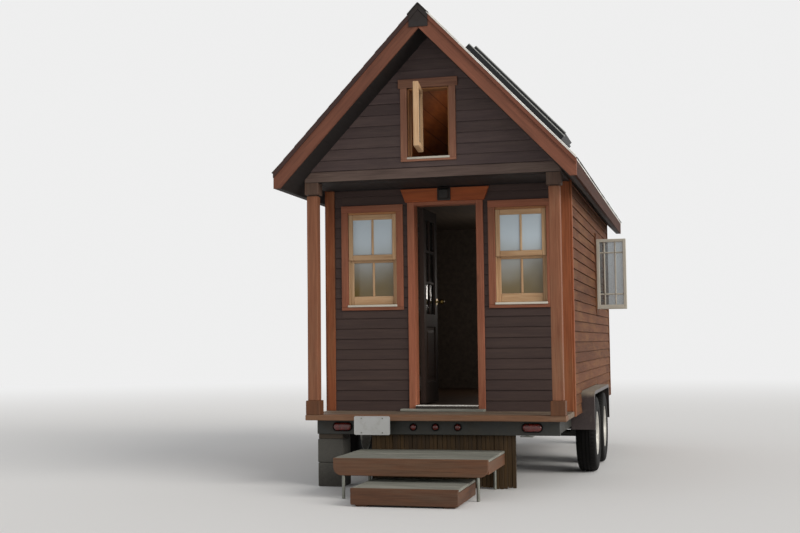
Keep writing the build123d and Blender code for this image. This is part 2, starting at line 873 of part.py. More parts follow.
def make_door_frame():
    half = door_opening_width / 2
    outer = half + casing_width
    casing_y = (door_wall_y - casing_thickness, door_wall_y)
    jamb_y = (door_wall_y - casing_thickness, room_front_y)
    casing_z = (deck_top, door_head + header_gap)
    jamb_x = (-half - jamb_thickness, half + jamb_thickness)
    jambs = box(jamb_x, jamb_y, (door_sill_top, door_head + jamb_thickness))
    casing = box((-outer, outer), casing_y, casing_z)
    frame = jambs + casing
    frame -= box((-half, half), past(jamb_y), (deck_top - cut_over, door_head))
    keep("door_casing", frame)

    sill = box(jamb_x, (door_wall_y, room_front_y), (frame_top, door_sill_top))
    nosing_y = (casing_y[0] - sill_nosing, door_wall_y)
    sill += box((-half, half), nosing_y, (deck_top, door_sill_top))
    plank_y = (casing_y[0] - sill_plank_depth, casing_y[0])
    plank_z = (deck_top, deck_top + sill_plank_thickness)
    sill += box(centred(sill_plank_centre_x, sill_plank_width), plank_y, plank_z)
    keep("door_sill", sill)

    header_z = (casing_z[1], casing_z[1] + header_height)
    outline = [
        (-header_bottom_width / 2, header_z[0]),
        (header_bottom_width / 2, header_z[0]),
        (header_top_width / 2, header_z[1]),
        (-header_top_width / 2, header_z[1]),
    ]
    keep("door_header", prism_along_y(outline, (door_wall_y - header_thickness, door_wall_y)))


# Windows
def double_hung(centre_x, y):
    """One window unit: both sashes as a frame with two glazed openings, and its two panes."""
    unit = window_box(centre_x, y, 0)
    pane_x = (centre_x - window_width / 2 + sash_stile, centre_x + window_width / 2 - sash_stile)
    top_z = window_bottom + window_height - sash_top_rail
    glass_height = (window_height - sash_top_rail - meeting_rail - sash_bottom_rail) / 2
    upper_z = (top_z - glass_height, top_z)
    lower_z = (window_bottom + sash_bottom_rail, window_bottom + sash_bottom_rail + glass_height)
    panes = []
    for z in (upper_z, lower_z):
        unit -= box(pane_x, past(y), z)
        inner_x = (pane_x[0] + glass_fit, pane_x[1] - glass_fit)
        inner_z = (z[0] + glass_fit, z[1] - glass_fit)
        panes.append(box(inner_x, centred(sum(y) / 2, glass_thickness), inner_z))
    return unit, panes


def make_closed_windows():
    """The double-hung windows beside the door and at the rear, and the closed rear gable sash."""
    front_y = (door_wall_y - sash_proud, door_wall_y - sash_proud + sash_depth)
    rear_window_y = (rear_y + sash_proud - sash_depth, rear_y + sash_proud)
    units = []
    panes = []
    for centre_x, y in ((-window_centre_x, front_y), (window_centre_x, front_y), (0, rear_window_y)):
        unit, unit_panes = double_hung(centre_x, y)
        units.append(unit)
        panes += unit_panes
    sash = gable_window_box(rear_window_y, 0) - gable_window_box(past(rear_window_y), -sash_stile)
    pane_y = centred(sum(rear_window_y) / 2, glass_thickness)
    pane = gable_window_box(pane_y, -sash_stile - glass_fit)
    keep("closed_windows", *units, sash)
    return panes + [pane]


def framed_pane(x, y, z, edge):
    """A glazed sash: a frame with edges of one width, and the pane that fits inside them."""
    inner_x = (x[0] + edge, x[1] - edge)
    inner_z = (z[0] + edge, z[1] - edge)
    sash = box(x, y, z) - box(inner_x, past(y), inner_z)
    pane_x = (inner_x[0] + glass_fit, inner_x[1] - glass_fit)
    pane_z = (inner_z[0] + glass_fit, inner_z[1] - glass_fit)
    return sash, box(pane_x, centred(sum(y) / 2, glass_thickness), pane_z)


def make_open_sashes():
    """The gable casement on its friction stays, and the two side casements square to the wall."""
    z = (gable_window_bottom + gable_sash_bottom_gap, gable_window_top - gable_sash_top_gap)
    half = gable_sash_thickness / 2
    sash_x = (0, gable_window_width - gable_sash_side_gap)
    sash, pane = framed_pane(sash_x, (-half, half), z, sash_stile)
    turned_half = half * math.cos(math.radians(gable_sash_angle))
    sash_y = porch_y - trim_thickness - gable_sash_clearance - turned_half
    place = Pos(gable_sash_x, sash_y, 0) * Rot(0, 0, -gable_sash_angle)
    gable_sash = place * sash
    for stay_z in ((z[0] - stay_thickness, z[0]), (z[1], z[1] + stay_thickness)):
        gable_sash += gable_stay(stay_z)
    keep("gable_sash", gable_sash)

    side_x = (wall_half_width + trim_thickness, wall_half_width + trim_thickness + side_window_width)
    side_y = centred(porch_y + side_window_hinge, side_sash_thickness)
    side_z = (side_window_bottom, side_window_bottom + side_window_height)
    side_sash, side_pane = framed_pane(side_x, side_y, side_z, side_sash_frame)
    keep("side_sashes", *pair(side_sash))
    return [place * pane, *pair(side_pane)]


def gable_stay(z):
    """A flat bar from the left jamb of the gable window to the sash, above or below it."""
    turn = math.radians(gable_sash_angle)
    start = (-gable_window_width / 2, porch_y + stay_width)
    end_x = gable_sash_x + stay_reach * math.cos(turn)
    end_y = porch_y - trim_thickness - stay_reach * math.sin(turn)
    outline = [
        (start[0], start[1] + stay_width),
        (start[0] + stay_width, start[1] + stay_width),
        (start[0] + stay_width, start[1]),
        (end_x + stay_width / 2, end_y),
        (end_x - stay_width / 2, end_y),
        start,
    ]
    return prism_along_z(outline, z)


def make_trims():
    """Flat boards round each window, as frames against the wall."""
    front_y = (door_wall_y - trim_thickness, door_wall_y)
    rear_trim_y = (rear_y, rear_y + trim_thickness)
    gable_y = (porch_y - trim_thickness, porch_y)
    trims = []
    for centre_x, y in ((-window_centre_x, front_y), (window_centre_x, front_y), (0, rear_trim_y)):
        trims.append(window_box(centre_x, y, trim_width) - window_box(centre_x, past(y), 0))
    for y in (gable_y, rear_trim_y):
        trims.append(gable_window_box(y, gable_trim_width) - gable_window_box(past(y), 0))
    x = (wall_half_width, wall_half_width + trim_thickness)
    side = side_window_box(x, trim_width) - side_window_box(past(x), 0)
    keep("window_trims", *trims, *pair(side))


# Steps and skirt
def make_steps():
    upper_z = (upper_step_top - upper_step_height, upper_step_top)
    upper_x = centred(upper_step_centre_x, upper_step_width)
    upper_y = (porch_y - upper_step_depth, crossmember_y + beam_width)
    upper = box(upper_x, upper_y, upper_z)
    upper = fillet(upper.edges().filter_by(Axis.Y).group_by(Axis.Z)[0], upper_step_radius)
    for leg_x in (upper_x[0] + step_leg_inset, upper_x[1] - step_leg_inset):
        for leg_y in (upper_y[0] + step_leg_setback, upper_y[1] - step_leg_setback):
            upper += rod_along_z(step_leg_radius, leg_x, leg_y, (0, upper_z[0] + upper_step_radius))
    keep("upper_step", upper)

    lower_x = centred(lower_step_centre_x, lower_step_width)
    lower_y = (porch_y - step_reach, porch_y - step_reach + lower_step_depth)
    lower = box(lower_x, lower_y, (step_foot_height, lower_step_height))
    foot_y = (lower_y[0] + step_foot_inset, lower_y[1] - step_foot_inset)
    for foot_x in (lower_x[0] + step_foot_inset, lower_x[1] - step_foot_inset - step_foot_width):
        lower += box((foot_x, foot_x + step_foot_width), foot_y, (0, step_foot_height))
    keep("lower_step", lower)

    skirt_y = (crossmember_y + beam_width, crossmember_y + beam_width + skirt_thickness)
    keep("skirt", box(centred(skirt_centre_x, skirt_width), skirt_y, (0, frame_bottom + skirt_lap)))


make_trailer_frame()
make_tongue()
make_jack()
make_supports()
make_lights()
make_axles()
make_springs()
for wheel_number, wheel_y in enumerate(axle_ys, start=1):
    make_wheel(wheel_number, wheel_y)
make_fenders()
make_floors()
make_side_walls()
make_front_walls()
make_gables()
make_corner_boards()
make_porch()
make_roof()
make_solar_panels()
make_door()
make_hinges()
make_door_frame()
glass_panes = make_closed_windows() + make_open_sashes()
keep("window_glass", *glass_panes)
make_trims()
make_steps()

os.makedirs("parts", exist_ok=True)
for part_name, part in parts.items():
    export_step(part, f"parts/{part_name}.step")
print(len(parts), "nodes")
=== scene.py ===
import math

import bmesh
import bpy
import numpy as np
from mathutils import Matrix, Vector


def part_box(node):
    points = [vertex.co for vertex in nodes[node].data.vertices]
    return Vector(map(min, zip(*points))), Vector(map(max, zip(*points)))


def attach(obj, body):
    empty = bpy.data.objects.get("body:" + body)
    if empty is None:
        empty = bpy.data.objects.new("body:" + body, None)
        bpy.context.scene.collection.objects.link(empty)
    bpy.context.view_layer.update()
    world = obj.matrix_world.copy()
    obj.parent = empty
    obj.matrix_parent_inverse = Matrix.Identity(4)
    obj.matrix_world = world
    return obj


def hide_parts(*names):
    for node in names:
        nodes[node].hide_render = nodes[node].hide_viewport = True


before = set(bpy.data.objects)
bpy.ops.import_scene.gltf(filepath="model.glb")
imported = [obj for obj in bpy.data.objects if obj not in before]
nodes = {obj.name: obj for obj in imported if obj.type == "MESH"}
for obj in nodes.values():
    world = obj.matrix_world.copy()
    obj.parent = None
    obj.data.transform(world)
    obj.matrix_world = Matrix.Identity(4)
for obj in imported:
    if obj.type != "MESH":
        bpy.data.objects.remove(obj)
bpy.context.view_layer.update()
chance = np.random.default_rng(27)

# Places of the house, read from its own solids
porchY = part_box("front_gable")[0].y
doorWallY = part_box("front_wall_left")[0].y
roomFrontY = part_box("front_wall_left")[1].y
roomDepth = roomFrontY - doorWallY
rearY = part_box("rear_wall")[1].y
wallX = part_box("right_wall")[1].x
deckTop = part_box("porch_deck")[1].z
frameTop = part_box("rear_crossmember")[1].z
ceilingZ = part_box("porch_front_beam")[0].z
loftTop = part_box("porch_front_beam")[1].z
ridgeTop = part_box("right_roof")[1].z
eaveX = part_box("eave_fascias")[1].x
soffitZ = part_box("right_roof")[0].z
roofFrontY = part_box("right_roof")[0].y
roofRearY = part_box("right_roof")[1].y

roof = {"rise": 1.300, "depth": 0.133, "barge": 0.022}
slope = roof["rise"] / eaveX
slopeLength = math.hypot(1, slope)
plumbDepth = roof["depth"] * slopeLength


def roofTopAt(x):
    # height of the roof's top plane at a distance x from the ridge line
    return ridgeTop - slope * np.abs(x)


def roofUnderAt(x):
    # the same for its underside
    return roofTopAt(x) - plumbDepth


class Batch:
    # many small closed shapes gathered into one mesh; each point keeps its board's tone and grain
    def __init__(self):
        self.points, self.faces, self.tones, self.grains = [], [], [], []
        self.total = 0

    def add(self, points, faces, tone=0.5, grain=None):
        points = np.asarray(points, float).reshape(-1, 3)
        self.points.append(points)
        self.faces += [np.asarray(face) + self.total for face in faces]
        self.tones.append(np.broadcast_to(np.asarray(tone, float).ravel(), len(points)))
        self.grains.append(points if grain is None else np.asarray(grain, float).reshape(-1, 3))
        self.total += len(points)

    def mesh(self, name):
        mesh = bpy.data.meshes.new(name)
        points = np.concatenate(self.points)
        loops = np.concatenate([face.ravel() for face in self.faces])
        sizes = np.concatenate([np.full(len(face), face.shape[1]) for face in self.faces])
        mesh.vertices.add(len(points))
        mesh.vertices.foreach_set("co", points.ravel())
        mesh.loops.add(len(loops))
        mesh.loops.foreach_set("vertex_index", loops)
        mesh.polygons.add(len(sizes))
        mesh.polygons.foreach_set("loop_start", np.concatenate([[0], np.cumsum(sizes)[:-1]]))
        mesh.update(calc_edges=True)
        mesh.attributes.new("tone", "FLOAT", "POINT").data.foreach_set("value", np.concatenate(self.tones))
        grain = mesh.attributes.new("grain", "FLOAT_VECTOR", "POINT")
        grain.data.foreach_set("vector", np.concatenate(self.grains).ravel())
        turnOutward(mesh)
        return mesh

    def build(self, name, finish, body="house", slot=None, replaces=(), smooth=0):
        place(self.mesh(name), name, finish, body, replaces, smooth)


def turnOutward(mesh):
    shape = bmesh.new()
    shape.from_mesh(mesh)
    bmesh.ops.recalc_face_normals(shape, faces=shape.faces)
    shape.to_mesh(mesh)
    shape.free()


def place(mesh, name, finish, body, replaces=(), smooth=0):
    # puts a mesh into the scene on its body, with its finish; smooth is the angle kept soft, in degrees
    piece = bpy.data.objects.new(name, mesh)
    bpy.context.scene.collection.objects.link(piece)
    mesh.materials.clear()
    mesh.materials.append(finish)
    if smooth:
        mesh.shade_smooth()
        mesh.set_sharp_from_angle(angle=math.radians(smooth))
    else:
        mesh.shade_flat()
    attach(piece, body)
    if replaces:
        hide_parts(*replaces)
    return piece


def netFaces(rows, columns, closedRows=False, closedColumns=False):
    # quads that join the neighbours of a grid of points, round the back too where it is closed
    index = np.arange(rows * columns).reshape(rows, columns)
    if closedColumns:
        index = np.concatenate([index, index[:, :1]], axis=1)
    if closedRows:
        index = np.concatenate([index, index[:1]], axis=0)
    corners = [index[:-1, :-1], index[:-1, 1:], index[1:, 1:], index[1:, :-1]]
    return np.stack(corners, axis=-1).reshape(-1, 4)


def tubeFaces(stations, around):
    # the sides of a carried profile and its two flat ends
    ends = np.arange(stations * around).reshape(stations, around)[[0, -1]]
    return [netFaces(stations, around, closedColumns=True), ends]


def plank(batch, start, end, across, width, depth, edge=0.0025, tone=None, slant=0.0, stations=2,
          waver=0.0):
    # A rectangle with eased corners carried in a straight line: point = start + along * s + across * a +
    # up * d. At both ends the rectangle closes in by the edge, and a slant shears it: s grows by slant * a.
    start, end, across = np.array(start, float), np.array(end, float), np.array(across, float)
    along = end - start
    length = np.linalg.norm(along)
    along /= length
    up = np.cross(along, across)
    e = min(edge, width / 3, depth / 3, length / 3)
    a, d = width / 2, depth / 2
    profile = np.array([(a - e, -d), (a, e - d), (a, d - e), (a - e, d),
                        (e - a, d), (-a, d - e), (-a, e - d), (e - a, -d)])
    inset = profile * ((a - e) / a, (d - e) / d)
    steps = np.concatenate([[0], np.linspace(e, length - e, stations), [length]])
    rings = np.repeat(profile[None], len(steps), axis=0)
    rings[0] = rings[-1] = inset
    s = steps[:, None] + slant * rings[:, :, 0]
    phase = chance.uniform(0, 6.28, 4)
    if waver:
        bend = np.sin(steps * 3.1 + phase[0]) + 0.6 * np.sin(steps * 8.3 + phase[1])
        twist = np.sin(steps * 2.3 + phase[2]) + 0.5 * np.sin(steps * 9.7 + phase[3])
        rings = rings + waver * np.stack([bend, twist], axis=1)[:, None, :]
    points = start + s[..., None] * along + rings[..., :1] * across + rings[..., 1:] * up
    tone = chance.uniform() if tone is None else tone
    shift = chance.uniform(0, 20, 3)
    grain = np.concatenate([rings, s[..., None]], axis=2) + shift
    batch.add(points, tubeFaces(len(steps), 8), tone, grain)


def turned(batch, centre, axis, profile, around, closed=False, radial=None):
    # A profile of (distance along the axis, radius) carried round the axis: point = centre + axis * h +
    # (side * cos t + up * sin t) * r. radial(t, h, r) may change the radius; an open profile gets flat ends.
    axis = np.array(axis, float)
    side = np.cross(axis, (0, 0, 1)) if abs(axis[2]) < 0.9 else np.cross(axis, (0, 1, 0))
    side /= np.linalg.norm(side)
    up = np.cross(axis, side)
    profile = np.array(profile, float)
    t = np.linspace(0, 2 * math.pi, around, endpoint=False)[:, None]
    h = np.repeat(profile[None, :, 0], around, axis=0)
    r = np.repeat(profile[None, :, 1], around, axis=0)
    if radial:
        r = radial(t, h, r)
    wheel = np.cos(t)[..., None] * side + np.sin(t)[..., None] * up
    points = np.array(centre, float) + h[..., None] * axis + r[..., None] * wheel
    count = len(profile)
    faces = [netFaces(around, count, closedRows=True, closedColumns=closed)]
    if not closed:
        index = np.arange(around * count).reshape(around, count)
        faces.append(np.stack([index[:, 0], index[:, -1]]))
    grain = np.stack([h, r, np.broadcast_to(t * 0.3, h.shape)], axis=-1)
    batch.add(points, faces, grain=grain)


class Wall:
    # the plane of a wall: u runs along it, d stands out from it, v is the height
    def __init__(self, origin, u, out, v=(0, 0, 1)):
        self.origin = np.array(origin, float)
        self.u, self.out, self.v = np.array(u, float), np.array(out, float), np.array(v, float)

    def at(self, u, d, v):
        u, d, v = (np.asarray(value, float)[..., None] for value in (u, d, v))
        return self.origin + u * self.u + d * self.out + v * self.v

    def stick(self, batch, u, d, v, along="u", **rest):
        # a plank that fills the spans u, d and v of the wall's own axes
        um, dm, vm = (sum(span) / 2 for span in (u, d, v))
        width, depth, height = (span[1] - span[0] for span in (u, d, v))
        if along == "u":
            plank(batch, self.at(u[0], dm, vm), self.at(u[1], dm, vm), self.v, height, depth, **rest)
        elif along == "v":
            plank(batch, self.at(um, dm, v[0]), self.at(um, dm, v[1]), self.u, width, depth, **rest)
        else:
            plank(batch, self.at(um, d[0], vm), self.at(um, d[1], vm), self.u, width, height, **rest)


doorWall = Wall((0, doorWallY, 0), (1, 0, 0), (0, -1, 0))
gableWall = Wall((0, porchY, 0), (1, 0, 0), (0, -1, 0))
backWall = Wall((0, rearY, 0), (1, 0, 0), (0, 1, 0))
rightWall = Wall((wallX, 0, 0), (0, 1, 0), (1, 0, 0))
leftWall = Wall((-wallX, 0, 0), (0, 1, 0), (-1, 0, 0))
ground = Wall((0, 0, 0), (1, 0, 0), (0, -1, 0))


def ends(span, width):
    # the two strips of a width at the ends of a span
    return (span[0], span[0] + width), (span[1] - width, span[1])


def refined(nodeName, name, finish, edge, body="house"):
    # a copy of a solid: its loose triangles are merged into whole faces and its edges are eased
    mesh = nodes[nodeName].data.copy()
    shape = bmesh.new()
    shape.from_mesh(mesh)
    bmesh.ops.remove_doubles(shape, verts=shape.verts, dist=1e-5)
    bmesh.ops.dissolve_limit(shape, angle_limit=math.radians(1), verts=shape.verts, edges=shape.edges)
    shape.to_mesh(mesh)
    shape.free()
    softAngle = 35
    piece = place(mesh, name, finish, body, (nodeName,), softAngle)
    bevel = piece.modifiers.new("easedEdges", "BEVEL")
    bevel.width = edge
    bevel.segments = 2
    bevel.limit_method = "ANGLE"
    bevel.angle_limit = math.radians(softAngle)


def sign(operation):
    # how a signal meets a value or another signal: one Math node
    return lambda self, other: self.finish.maths(operation, self, other)


def signTurned(operation):
    # the same with the value in front
    return lambda self, other: self.finish.maths(operation, other, self)


class Signal:
    # one output of a material's node; sums, products and comparisons of signals add their Math nodes
    def __init__(self, finish, socket):
        self.finish, self.socket = finish, socket

    __add__, __radd__ = sign("ADD"), signTurned("ADD")
    __sub__, __rsub__ = sign("SUBTRACT"), signTurned("SUBTRACT")
    __mul__, __rmul__ = sign("MULTIPLY"), signTurned("MULTIPLY")
    __truediv__ = sign("DIVIDE")
    __gt__, __lt__ = sign("GREATER_THAN"), sign("LESS_THAN")


class Finish:
    # a material with one principled surface, and short calls for the nodes that feed it
    def __init__(self, name, **surface):
        self.material = bpy.data.materials.new(name)
        self.material.use_nodes = True
        self.tree = self.material.node_tree
        self.tree.nodes.clear()
        self.surface = self.tree.nodes.new("ShaderNodeBsdfPrincipled")
        self.output = self.tree.nodes.new("ShaderNodeOutputMaterial")
        self.tree.links.new(self.surface.outputs[0], self.output.inputs[0])
        for socket, value in surface.items():
            self.set(socket, value)

    def set(self, socket, value):
        # feeds one socket of the surface with a signal or a plain value
        socket = self.surface.inputs[socket]
        if isinstance(value, Signal):
            self.tree.links.new(value.socket, socket)
        else:
            socket.default_value = value

    def add(self, kind, settings=None, sockets=None, out=0):
        # any node: its settings first, then the values or links of its sockets
        node = self.tree.nodes.new(kind)
        for key, value in (settings or {}).items():
            if key == "stops":
                while len(node.color_ramp.elements) < len(value):
                    node.color_ramp.elements.new(0.5)
                for element, (position, colour) in zip(node.color_ramp.elements, value):
                    element.position, element.color = position, colour
            else:
                setattr(node, key, value)
        for key, value in (sockets or {}).items():
            if isinstance(value, Signal):
                self.tree.links.new(value.socket, node.inputs[key])
            else:
                node.inputs[key].default_value = value
        return Signal(self, node.outputs[out])

    def maths(self, operation, *values):
        return self.add("ShaderNodeMath", {"operation": operation}, dict(enumerate(values)))

    def here(self):
        return self.add("ShaderNodeTexCoord", out="Object")

    def attribute(self, name, out="Fac"):
        return self.add("ShaderNodeAttribute", {"attribute_name": name}, out=out)

    def axis(self, vector, letter):
        return self.add("ShaderNodeSeparateXYZ", None, {0: vector}, out=letter)

    def stretch(self, vector, scale, shift=(0, 0, 0)):
        return self.add("ShaderNodeMapping", None, {"Vector": vector, "Scale": scale, "Location": shift})

    def noise(self, vector, scale, detail=3.0, rough=0.55, distortion=0.0):
        sockets = {"Vector": vector, "Scale": scale, "Detail": detail, "Roughness": rough,
                   "Distortion": distortion}
        return self.add("ShaderNodeTexNoise", None, sockets, out="Fac")

    def ramp(self, value, *stops):
        return self.add("ShaderNodeValToRGB", {"stops": stops}, {0: value}, out="Color")

    def between(self, value, dark, light, low=0.3, high=0.7):
        # from a dark to a light screen colour as the value goes from low to high
        return self.ramp(value, (low, colour(dark)), (high, colour(light)))

    def grey(self, value):
        return self.add("ShaderNodeCombineColor", None, {0: value, 1: value, 2: value})

    def fromMiddle(self, value):
        # how far a value lies from the middle between two whole numbers
        return self.maths("ABSOLUTE", self.maths("FRACT", value) - 0.5)

    def soft(self, value, low, high):
        # a smooth step from 0 at low to 1 at high
        sockets = {"Value": value, "From Min": low, "From Max": high}
        return self.add("ShaderNodeMapRange", {"interpolation_type": "SMOOTHSTEP"}, sockets)

    def mix(self, share, first, second, way="MIX"):
        settings = {"data_type": "RGBA", "blend_type": way}
        return self.add("ShaderNodeMix", settings, {0: share, 6: first, 7: second}, out=2)

    def bump(self, height, distance, strength=1.0):
        sockets = {"Height": height, "Distance": distance, "Strength": strength}
        self.set("Normal", self.add("ShaderNodeBump", None, sockets))


def colour(code, lift=1.0):
    # a colour written as its screen code, in the linear values that sockets take
    values = [int(code[i:i + 2], 16) / 255 for i in (0, 2, 4)]
    linear = [v / 12.92 if v <= 0.04045 else ((v + 0.055) / 1.055) ** 2.4 for v in values]
    return tuple(min(1.0, v * lift) for v in linear) + (1.0,)


def wood(name, dark, light, worn=None, wear=0.0, rough=0.62, source="grain", turn=None, relief=0.0012,
         toneSpread=0.35, knots=0.0, under=0.0, gloss=0.3):
    # Sawn wood: wide bands and fine streaks of noise drawn out along the grain, a tone for each board, and
    # a worn colour in patches. On solids without a grain attribute the grain runs along the turned Z. Faces
    # that look down get painted shade, mixed toward near black by the share called under.
    f = Finish(name)
    f.set("Specular IOR Level", gloss)
    spot = f.attribute("grain", "Vector") if source == "grain" else f.here()
    if turn:
        spot = f.add("ShaderNodeMapping", None, {"Vector": spot, "Rotation": turn})
    bands = f.noise(f.stretch(spot, (30, 30, 1.8)), 1.0, 4.0, 0.6, 0.6)
    streaks = f.noise(f.stretch(spot, (190, 190, 5)), 1.0, 3.0, 0.6)
    pores = f.noise(f.stretch(spot, (520, 520, 24)), 1.0, 2.0, 0.5)
    figure = bands * 0.6 + streaks * 0.4
    paint = f.between(figure, dark, light, 0.32, 0.66)
    if knots:
        cells = f.add("ShaderNodeTexVoronoi", None, {"Vector": f.stretch(spot, (9, 9, 3.2)), "Scale": 1.0})
        knot = 1.0 - f.soft(cells, 0.05, 0.16)
        paint = f.mix(knot * knots, paint, colour(dark, 0.45))
    if source == "grain":
        shade = f.grey(f.attribute("tone") * toneSpread + (1.0 - toneSpread / 2))
        paint = f.mix(1.0, paint, shade, "MULTIPLY")
    if worn:
        patches = f.noise(f.stretch(spot, (7, 7, 1.4)), 1.0, 5.0, 0.65)
        share = f.soft(patches + (streaks - 0.5) * 0.5, 0.42, 0.72) * wear
        paint = f.mix(share, paint, colour(worn))
    # painted shade: faces that look down are mixed toward near black
    if under:
        down = f.axis(f.add("ShaderNodeNewGeometry", out="Normal"), "Z") < -0.5
        paint = f.mix(down * under, paint, colour("0c0806"))
    f.set("Base Color", paint)
    f.set("Roughness", f.maths("MULTIPLY_ADD", streaks, 0.25, rough - 0.1))
    f.bump(streaks * 0.6 + pores * 0.4, relief, 0.6)
    return f.material


def metal(name, base, rough, dirt=None, dirtShare=0.0, metallic=1.0, scale=30.0, relief=0.0004):
    # bare or painted metal: cloudy colour and roughness, with dirt gathered in patches
    f = Finish(name)
    spot = f.here()
    cloud = f.noise(spot, scale, 4.0, 0.6)
    fine = f.noise(spot, scale * 9, 3.0, 0.6)
    paint = f.ramp(cloud, (0.3, colour(base, 0.8)), (0.7, colour(base, 1.12)))
    if dirt:
        share = f.soft(f.noise(spot, scale * 0.3, 5.0, 0.7), 0.4, 0.7) * dirtShare
        paint = f.mix(share, paint, colour(dirt))
        f.set("Roughness", rough + share * 0.35 + (fine - 0.5) * 0.1)
        f.set("Metallic", metallic * (1.0 - share))
    else:
        f.set("Roughness", rough + (cloud - 0.5) * 0.15)
        f.set("Metallic", metallic)
    f.set("Base Color", paint)
    f.bump(fine, relief, 0.5)
    return f.material


sidingFinish = wood("sidingStain", "473a39", "574846", worn="67574f", wear=0.3, rough=0.7, toneSpread=0.25)
# a darker copy of the siding stain for the door wall under the porch roof: painted shade
porchShadeSiding = wood("porchShadeSiding", "382b28", "453632", worn="52423a", wear=0.3, rough=0.7, toneSpread=0.2)
# a lighter, more orange copy of the siding stain for both long sides and their trims: painted sunlight
sunPaintedSiding = wood("sunPaintedSiding", "4c3022", "6a4532", worn="83603f", wear=0.4, rough=0.7, toneSpread=0.4,
                   gloss=0.08)
postDark = wood("sillStain", "241f1c", "3a322c", worn="4d463e", wear=0.3)
frameWood = wood("frameStain", "6a412e", "8d5d44", worn="7b6650", wear=0.3, gloss=0.2)
plinthWood = wood("plinthStain", "482b1a", "623d25", worn="55412f", wear=0.3)
rakeWood = wood("rakeStain", "573325", "7e4d3a", worn="6b4936", wear=0.2)
# a darker copy of the rake stain for the eave fascias: painted shade
fasciaShadeWood = wood("fasciaShadeStain", "321b12", "492a1d", worn="3c2a1e", wear=0.2, gloss=0.08)
capitalWood = wood("capitalStain", "47362d", "644b3e", worn="64574a", wear=0.4)
trimWood = wood("trimStain", "7d4732", "a56449", worn="9b7558", wear=0.25, knots=0.35)
windowTrimWood = wood("windowTrimStain", "6f402d", "945a42", worn="8b694f", wear=0.25, knots=0.35)
headerWood = wood("headerStain", "87421f", "b55b2e", worn="9c6138", wear=0.2, knots=0.35)
gableTrimWood = wood("gableTrimStain", "73493a", "9b6c54", worn="94765f", wear=0.3)
cornerWood = wood("cornerStain", "6c3c25", "935435", worn="86684a", wear=0.3, gloss=0.15)
mouldWood = wood("mouldStain", "5a3325", "7c4936", worn="63432f", wear=0.2)
# a near-black copy of the mould stain for the left rake: painted shade; the right rake keeps the stain
mouldPaintedShade = wood("mouldPaintedShade", "2b1b18", "432c27", worn="4a332b", wear=0.2)
linerWood = wood("linerFir", "8a5c3c", "b07c50", worn="a8845f", wear=0.2)
paleWood = wood("sashFir", "9a7753", "c8a37e", worn="cfb897", wear=0.35, toneSpread=0.2)
sideSashPaint = wood("sidePaint", "a39e92", "c4c0b4", worn="8b8170", wear=0.35, toneSpread=0.12)
sillPaint = wood("sillPaint", "b9b3a6", "d8d3c6", worn="9b9383", wear=0.3, toneSpread=0.1)
# the beams get painted shade on their undersides by the share called under
beamAlongX = wood("beamStainX", "493a34", "66544d", worn="756559", wear=0.4, source="object",
                  turn=(0, math.pi / 2, 0), under=0.92)
beamAlongY = wood("beamStainY", "3d302b", "564640", worn="62544a", wear=0.4, source="object",
                  turn=(math.pi / 2, 0, 0), under=0.92)
deckWood = wood("deckBoards", "54463a", "7b6857", worn="87806f", wear=0.6)
edgeWood = wood("deckEdge", "593e2d", "78563e", worn="7d6957", wear=0.45)
stepTopWood = wood("stepTops", "5d5f59", "86867d", worn="a09f95", wear=0.5, relief=0.002, toneSpread=0.25)
stepFrontWood = wood("stepFronts", "4a3122", "6b4731", worn="5d5143", wear=0.4, toneSpread=0.4)
skirtWood = wood("skirtSlats", "241809", "433015", worn="4f3c21", wear=0.3, toneSpread=0.6)
shimWood = wood("shimWood", "2b241c", "40362b", worn="4a4338", wear=0.3)
doorWood = wood("doorStain", "241a15", "33241c", source="object")
doorBarWood = wood("doorBarStain", "2a1e18", "3c2b22")
floorWood = wood("floorPine", "3d2c20", "55402f", source="object", turn=(math.pi / 2, 0, 0))
steelPaint = metal("trailerPaint", "252622", 0.55, dirt="3f3a31", dirtShare=0.4, metallic=0.0)
blackSteel = metal("blackSteel", "201d1a", 0.5, dirt="403830", dirtShare=0.35, metallic=0.3)
plateSteel = metal("plateSteel", "1a1210", 0.7, dirt="261b16", dirtShare=0.4, metallic=0.0)
galvanised = metal("galvanised", "85877f", 0.42, dirt="5b564d", dirtShare=0.5, metallic=0.8)
dripMetal = metal("dripEdge", "f0eee8", 0.4, dirt="cfccc4", dirtShare=0.2, metallic=0.0)
brass = metal("agedBrass", "8c7440", 0.35)
alloy = metal("panelAlloy", "a4a8aa", 0.35, metallic=0.9)
lipAlloy = metal("panelLip", "b4b6b2", 0.4, metallic=0.1)
# near black for the panels' alloy frames: painted shade
panelFrameShade = metal("panelFrameShade", "1c1d20", 0.45, metallic=0.2)
rimFinish = metal("rimPaint", "b9b7b0", 0.35, dirt="6f675b", dirtShare=0.4, metallic=0.2, scale=18.0)


